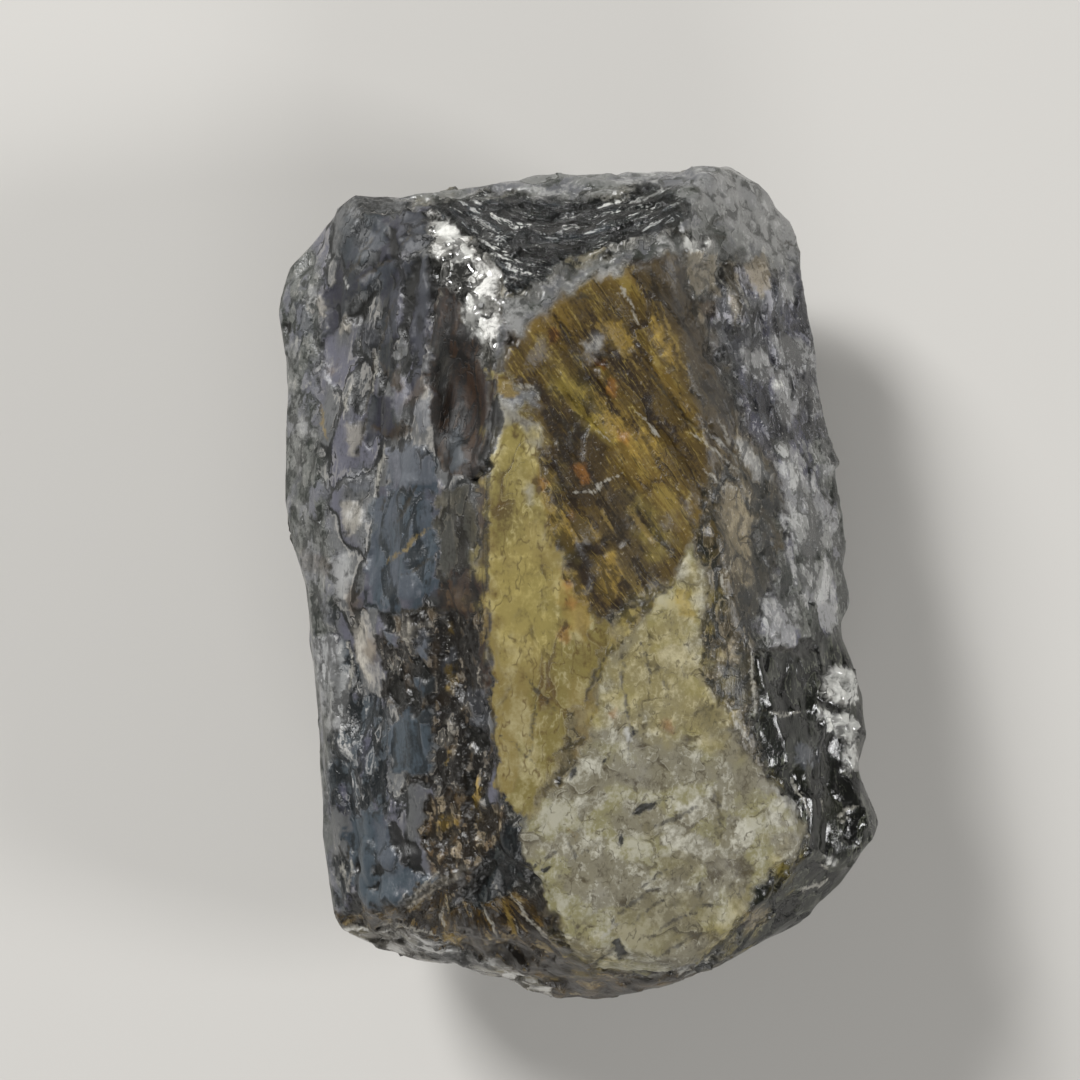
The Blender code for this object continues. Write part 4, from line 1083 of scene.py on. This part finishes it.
def lay_finish(skin, look, points, share, seed):
    """Lays a zone's look over what the skin has, as far as each vertex's share of it."""
    chosen = np.nonzero(share > 0.0)[0]
    part = share[chosen]
    own = look["lie"](points[chosen])
    plate = np.array(look["plate"])
    shade, hue, seam, rise = flakes(own, look["plate"], seed)
    hairs = grain(own, look["hair"], 4, seed + 0.37)
    clouds = grain(own, plate * CLOUD_SIZE, 3, seed + 0.71)
    parting = grain(own, plate * CRACK_STRETCH, 2, seed + 0.13)
    closed = look["closed"] * CLOSED_GAIN
    cracked = ramp(parting, closed + OPEN_FROM, closed + OPEN_TO)
    # Painted shade: plates darken beside an open crack
    painted_shade_beside = 1.0 - ramp(np.abs(seam), 0.0, SHADE_BESIDE_CRACK)
    tone = look["tone"] + look["contrast"] * shade + look["hairs"] * hairs + look["clouds"] * clouds
    relief = look["lean"] * rise + HAIR_RELIEF * look["hairs"] * min(look["hair"]) * hairs
    relief += CLOUD_RELIEF * look["lean"] * clouds
    if look["shells"]:
        relief += SHELL_RELIEF * bowls(own, look["shells"], SHELL_LEAN, seed)
    drift = ramp(hue + DRIFT_CLOUDS * clouds, 0.0, FULL_DRIFT)[:, None]
    dark, middle, pale, drifted = (np.array(linear(code)) for code in look["colours"])
    even = np.ones(len(part))
    laid = {
        "dark": dark,
        "middle": middle + drift * (drifted - middle),
        "pale": pale + PALE_DRIFT * drift * (drifted - pale),
        "mottling_and_shade": np.stack([tone - CRACK_PAINTED_SHADE * painted_shade_beside * cracked, look["grit"] * even,
                              look["crisp"] * even], axis=1),
        "nature": np.array((look["clear"], look["rough"], look["height"])),
        "lines": np.stack([look["cracks"] * cracked, look["threads"] * even, look["sparks"] * even], axis=1),
        "relief": relief,
    }
    for name, values in laid.items():
        spread = part if skin[name].ndim == 1 else part[:, None]
        skin[name][chosen] += spread * (values - skin[name][chosen])
    inside = part > 0.5
    skin["flow"][chosen[inside]] = (own / (FLOW_SHARE * np.array(look["hair"])))[inside]
    skin["seam"][chosen[inside], 0] = seam[inside]
    skin["seam"][chosen[inside], 1] = look["gap"]


def dressed(points, depths):
    """Every vertex's colours, mottling with painted shade beside cracks, gloss, seams, marks and relief."""
    kept = ("dark", "middle", "pale", "mottling_and_shade", "nature", "flow", "lines", "seam", "mark", "hold")
    skin = {name: np.zeros((len(points), 3)) for name in kept}
    skin["relief"] = np.zeros(len(points))
    lay_finish(skin, FINISHES["back"], points, np.ones(len(points)), 1)
    for seed, name in enumerate(OUTLINES, start=2):
        edge = FINISHES[name]["edge"]
        lay_finish(skin, FINISHES[name], points, ramp(depths[name], -edge, edge), seed)
    patchy = grain(points, PATCHES, 4, seed=15)
    lit = grain(points, RIM_LIGHTS, 2, seed=16)
    for name, (code, strength, soft, height, _) in STAINS.items():
        depth = depths["stain " + name]
        share = strength * ramp(depth + PATCH_REACH * soft * patchy, -soft, soft)[:, None]
        for layer, gain in STAIN_SHADES.items():
            skin[layer] += share * (gain * np.array(linear(code)) - skin[layer])
        skin["relief"] += height * ramp(depth, -STAIN_STEP, STAIN_STEP)
        skin["mottling_and_shade"][:, 0] += STAIN_RIM_LIGHT * lit * (1.0 - ramp(np.abs(depth), *STAIN_RIM))
    nearest = np.full(len(points), -1.0)
    for name, (code, strength, height) in MARKS.items():
        depth = depths["mark " + name]
        wins = depth > np.minimum(nearest, -MARK_REACH)
        nearest[wins] = depth[wins]
        skin["mark"][wins] = linear(code)
        skin["hold"][wins, 1] = strength
        skin["relief"] += height * ramp(depth, -MARK_STEP, MARK_STEP)
    skin["hold"][:, 0] = nearest
    return skin


def keep_on_mesh(mesh, skin):
    """Keeps each vertex's numbers on the mesh, where the material reads them."""
    for name, values in skin.items():
        layer = mesh.attributes.new(name, "FLOAT_VECTOR", "POINT")
        layer.data.foreach_set("vector", values.astype(np.float32).ravel())


def thin_out(stone, points, normals, near_mark):
    """Thins the mesh where it is smooth: most at the back, less in front, nowhere round a mark."""
    in_front = ramp(normals[:, 2], *FRONT_FACING) * ramp(points[:, 2], *FRONT_HEIGHT)
    weights = np.where(near_mark, 0.0, np.round(1.0 - FRONT_SPARED * in_front, 2))
    group = stone.vertex_groups.new(name="thin_out")
    for weight in np.unique(weights):
        group.add(np.nonzero(weights == weight)[0].tolist(), float(weight), "REPLACE")
    thin = stone.modifiers.new("thin_out", "DECIMATE")
    thin.vertex_group = group.name
    thin.vertex_group_factor = BACK_PREFERRED
    thin.ratio = MOST_TRIANGLES / (2.0 * len(stone.data.polygons))
    stone.data = frozen(stone)
    stone.modifiers.clear()
    stone.vertex_groups.clear()


def shape_stone(stone):
    """Moves the surface by its relief and gives each vertex what the material reads."""
    mesh = stone.data
    points, normals = per_vertex(mesh, "co") / MM, per_vertex(mesh, "normal")
    skin = dressed(points, zone_depths(points, normals))
    level = ramp(np.abs(normals[:, 2]), 0.0, LEVEL)
    relief = skin.pop("relief") * (UPRIGHT_RELIEF + (1.0 - UPRIGHT_RELIEF) * level)
    off_rest = ramp(points[:, 2], *RELIEF_OFF_REST)
    relief *= np.where(normals[:, 2] < 0.0, off_rest, 1.0)
    moved = points + normals * relief[:, None]
    moved[:, 2] = np.maximum(moved[:, 2], np.minimum(points[:, 2], LOWEST_RELIEF))
    mesh.vertices.foreach_set("co", (moved * MM).astype(np.float32).ravel())
    keep_on_mesh(mesh, skin)
    mesh.update()
    thin_out(stone, points, normals, np.abs(skin["hold"][:, 0]) < MARK_SURROUND)
    stone.data.shade_smooth()


# Iolite bends light this much, and its body dims it towards this colour, this strongly
REFRACTION = 1.54
BODY_COLOUR = "#cfc9b4"
BODY_DENSITY = 80.0

# Grit: the grains' size, their share beside the fibres, and how much grit changes the tone. The
# grains of the real break are finer and are drawn as coarse as they need to show.
DUST_GRAIN = 0.15 * MM
DUST_SHARE = 0.4
GRIT_GAIN = 2.8

# The tones below which a place is dark and above which it is pale
DARK_BELOW = 0.32
PALE_ABOVE = 0.70

# Hairlines lie where folds, this fine beside the fibres, pass a level: the level, half the width
# in the folds' own values and the strength of the dark and of the pale ones, which are pale veins
# and painted highlights beside the dark. They show where the fibres are strong.
FOLD_SHARE = 0.35
DARK_HAIRLINE = (0.50, (0.0, 0.026), 0.85)
PALE_VEIN_AND_HIGHLIGHT = (0.58, (0.0, 0.020), 0.70)
HAIRLINES_SHOW = (0.44, 0.56)

# Painted glints: how bright a grain has to be to be painted as a glint, and the colour of it
PAINTED_GLINT_FROM = 0.66
PAINTED_GLINT_FULL = 0.70
PAINTED_GLINT_COLOUR = "#dedcd6"

# Gaps between plates: the narrowest in mm, where folds widen them, and how ragged grit makes them
NARROWEST_GAP = 0.03
GAP_WIDENS = (0.42, 0.66)
GAP_RAGGED = 0.16

# The gap itself and the painted highlight, a pale lip, on its paler side: middle, half the full and
# the whole width, in gap widths, and strength
GAP_LINE = (0.0, (0.5, 1.0), 1.0)
PAINTED_HIGHLIGHT_LIP = (1.5, (0.3, 0.6), 0.6)

# Single marks: how ragged grit makes them, and between which depths in mm they fade in
MARK_RAGGED = 0.50
MARK_FADE = (-0.05, 0.04)

# Bump: how high a bump of 1 stands, and how deep a gap cuts in, in the same measure
BUMP_HEIGHT = 2.0 * MM
GAP_DEPTH = -0.012


def add_node(tree, kind, inputs=(), out=0, **settings):
    """Adds a node with its settings and gives one of its outputs. Each input is a socket to
    link or a value. A Mix node's colours go in at 6 and 7 and come out at 2."""
    made = tree.nodes.new("ShaderNode" + kind)
    for name, value in settings.items():
        setattr(made, name, value)
    for key, value in dict(inputs).items():
        if isinstance(value, bpy.types.NodeSocket):
            tree.links.new(value, made.inputs[key])
        else:
            made.inputs[key].default_value = value
    return made.outputs[out]


def drawn_line(tree, colour, shade, pattern, drawn, *gains):
    """Draws a line in another shade over the colour, where the pattern passes a level, and gives
    the new colour and the line."""
    level, (full, gone), strength = drawn
    off = add_node(tree, "Math", {0: pattern, 1: level}, operation="SUBTRACT")
    off = add_node(tree, "Math", {0: off}, operation="ABSOLUTE")
    line = add_node(tree, "MapRange", {"Value": off, "From Min": full, "From Max": gone,
                                       "To Min": strength, "To Max": 0.0})
    for gain in gains:
        line = add_node(tree, "Math", {0: line, 1: gain}, operation="MULTIPLY")
    colour = add_node(tree, "Mix", {0: line, 6: colour, 7: shade}, out=2, data_type="RGBA")
    return colour, line


def iolite():
    """Rough iolite, broken and not polished: glassy on each small break, so that it glints, with
    a milky or smoky body behind it that light goes a little way into."""
    material = bpy.data.materials.new("rough_iolite")
    material.use_nodes = True
    tree = material.node_tree
    shader = tree.nodes["Principled BSDF"]

    # What each vertex keeps: where it lies along its zone's fibres, four colours and five sets
    # of three numbers
    flow = add_node(tree, "Attribute", attribute_name="flow", out="Vector")
    dark, middle, pale, mark = (add_node(tree, "Attribute", attribute_name=name, out="Color")
                                for name in ("dark", "middle", "pale", "mark"))
    kept = {}
    for name in ("mottling_and_shade", "lines", "seam", "hold", "nature"):
        numbers = add_node(tree, "Attribute", attribute_name=name, out="Vector")
        kept[name] = add_node(tree, "SeparateXYZ", {0: numbers}).node.outputs
    tone, grit, crisp = kept["mottling_and_shade"]
    cracks, threads, sparks = kept["lines"]
    seam, widest, _ = kept["seam"]
    depth, strength, _ = kept["hold"]
    clear, rough, height = kept["nature"]

    # Grit: fibres that run along each zone, and an even dust, as a swing about their mean
    place = add_node(tree, "TexCoord", out="Object")
    fibres = add_node(tree, "TexNoise", {"Vector": flow, "Scale": 1.0, "Detail": 5.0, "Roughness": 0.65})
    dust = add_node(tree, "TexNoise", {"Vector": place, "Scale": 1.0 / DUST_GRAIN, "Detail": 2.0,
                                       "Roughness": 0.6})
    mixed = add_node(tree, "Mix", {0: DUST_SHARE, 2: fibres, 3: dust})
    swing = add_node(tree, "Math", {0: mixed, 1: 0.5}, operation="SUBTRACT")

    # Dark, middle and pale places
    gain = add_node(tree, "Math", {0: swing, 1: GRIT_GAIN}, operation="MULTIPLY")
    tone = add_node(tree, "Math", {0: gain, 1: grit, 2: tone}, operation="MULTIPLY_ADD")
    below = add_node(tree, "Math", {0: DARK_BELOW, 1: tone}, operation="SUBTRACT")
    above = add_node(tree, "Math", {0: tone, 1: PALE_ABOVE}, operation="SUBTRACT")
    colour = middle
    for past, other in ((below, dark), (above, pale)):
        share = add_node(tree, "Math", {0: past, 1: crisp, 2: 0.5}, operation="MULTIPLY_ADD", use_clamp=True)
        colour = add_node(tree, "Mix", {0: share, 6: colour, 7: other}, out=2, data_type="RGBA")

    # Hairlines along the fibres, dark and pale, which come and go; the pale ones are pale veins and painted
    # highlights
    along = add_node(tree, "VectorMath", {0: flow, 3: FOLD_SHARE}, operation="SCALE")
    folds = add_node(tree, "TexNoise", {"Vector": along, "Scale": 1.0, "Detail": 3.0, "Roughness": 0.6})
    shown = add_node(tree, "MapRange", {"Value": fibres, "From Min": HAIRLINES_SHOW[0],
                                        "From Max": HAIRLINES_SHOW[1]})
    for drawn, shade in ((DARK_HAIRLINE, dark), (PALE_VEIN_AND_HIGHLIGHT, pale)):
        colour, _ = drawn_line(tree, colour, shade, folds, drawn, shown, threads)

    # Painted glints: the brightest grains of the dust, painted pale
    spark = add_node(tree, "MapRange", {"Value": dust, "From Min": PAINTED_GLINT_FROM, "From Max": PAINTED_GLINT_FULL})
    spark = add_node(tree, "Math", {0: spark, 1: sparks}, operation="MULTIPLY")
    colour = add_node(tree, "Mix", {0: spark, 6: colour, 7: linear(PAINTED_GLINT_COLOUR) + [1.0]}, out=2, data_type="RGBA")

    # The seams between plates: gaps of changing width, with a painted highlight as a pale lip on the paler
    # side of each
    gap = add_node(tree, "MapRange", {"Value": folds, "From Min": GAP_WIDENS[0], "From Max": GAP_WIDENS[1],
                                      "To Min": NARROWEST_GAP, "To Max": widest})
    seam = add_node(tree, "Math", {0: swing, 1: GAP_RAGGED, 2: seam}, operation="MULTIPLY_ADD")
    across = add_node(tree, "Math", {0: seam, 1: gap}, operation="DIVIDE")
    colour, open_gap = drawn_line(tree, colour, dark, across, GAP_LINE, cracks)
    colour, _ = drawn_line(tree, colour, pale, across, PAINTED_HIGHLIGHT_LIP, cracks)

    # Single marks: how deep a place lies in one, made ragged by the grit
    ragged = add_node(tree, "Math", {0: swing, 1: MARK_RAGGED, 2: depth}, operation="MULTIPLY_ADD")
    share = add_node(tree, "MapRange", {"Value": ragged, "From Min": MARK_FADE[0], "From Max": MARK_FADE[1],
                                        "To Max": strength})
    colour = add_node(tree, "Mix", {0: share, 6: colour, 7: mark}, out=2, data_type="RGBA")

    lift = add_node(tree, "Math", {0: swing, 1: height}, operation="MULTIPLY")
    lift = add_node(tree, "Math", {0: open_gap, 1: GAP_DEPTH, 2: lift}, operation="MULTIPLY_ADD")
    bump = add_node(tree, "Bump", {"Height": lift, "Distance": BUMP_HEIGHT, "Strength": 1.0})
    for name, socket in (("Base Color", colour), ("Transmission Weight", clear), ("Roughness", rough),
                         ("Normal", bump)):
        tree.links.new(socket, shader.inputs[name])
    shader.inputs["IOR"].default_value = REFRACTION
    body = add_node(tree, "VolumeAbsorption", {"Color": linear(BODY_COLOUR) + [1.0], "Density": BODY_DENSITY})
    tree.links.new(body, tree.nodes["Material Output"].inputs["Volume"])
    return material


# The studio: the side of the floor in m, its colour and that of the dim surround, and three soft
# boxes, each with its place and its side in m and its power in W
FLOOR_SIDE = 1.2
PALE_BOARD = "#bbb9b5"
SURROUND = "#eceae6"
SURROUND_STRENGTH = 0.20
SOFT_BOXES = {
    "key": ((-0.24, 0.27, 0.28), 0.12, 2.6),
    "fill": ((0.36, -0.05, 0.21), 0.10, 0.9),
    "low": ((0.05, -0.36, 0.20), 0.20, 0.6),
}


def pale_floor():
    """A plain pale board, matt, under the stone."""
    bm = bmesh.new()
    bmesh.ops.create_grid(bm, x_segments=1, y_segments=1, size=FLOOR_SIDE / 2.0)
    mesh = bpy.data.meshes.new("floor")
    bm.to_mesh(mesh)
    bm.free()
    floor = new_object("floor", mesh)
    material = bpy.data.materials.new("pale_board")
    material.use_nodes = True
    shader = material.node_tree.nodes["Principled BSDF"]
    shader.inputs["Base Color"].default_value = linear(PALE_BOARD) + [1.0]
    shader.inputs["Roughness"].default_value = 0.85
    mesh.materials.append(material)


def studio():
    """A dim surround and square soft boxes that face the stone."""
    world = bpy.data.worlds.new("studio")
    bpy.context.scene.world = world
    world.use_nodes = True
    background = world.node_tree.nodes["Background"]
    background.inputs["Color"].default_value = linear(SURROUND) + [1.0]
    background.inputs["Strength"].default_value = SURROUND_STRENGTH
    for name, (place, side, power) in SOFT_BOXES.items():
        light = bpy.data.lights.new(name, "AREA")
        light.size = side
        light.energy = power
        lamp = new_object(name, light)
        lamp.location = place
        away = -lamp.location.copy()
        lamp.rotation_euler = away.to_track_quat("-Z", "Y").to_euler()
    bpy.context.scene.view_settings.view_transform = "Standard"


def photo_camera():
    """Looks straight down on the front, framed as the photograph is."""
    camera = bpy.data.cameras.new("camera")
    camera.lens = LENS
    camera.sensor_width = SENSOR
    camera.clip_start = 1.0 * MM
    stand = new_object("camera", camera)
    stand.location = (CAMERA_X, CAMERA_Y, FRAMED_HEIGHT + CAMERA_AWAY)
    bpy.context.scene.camera = stand


stone = fine_copy(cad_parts["iolite_crystal"])
shape_stone(stone)
stone.data.materials.clear()
stone.data.materials.append(iolite())
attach(stone, "root")
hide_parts("iolite_crystal")
pale_floor()
studio()
photo_camera()
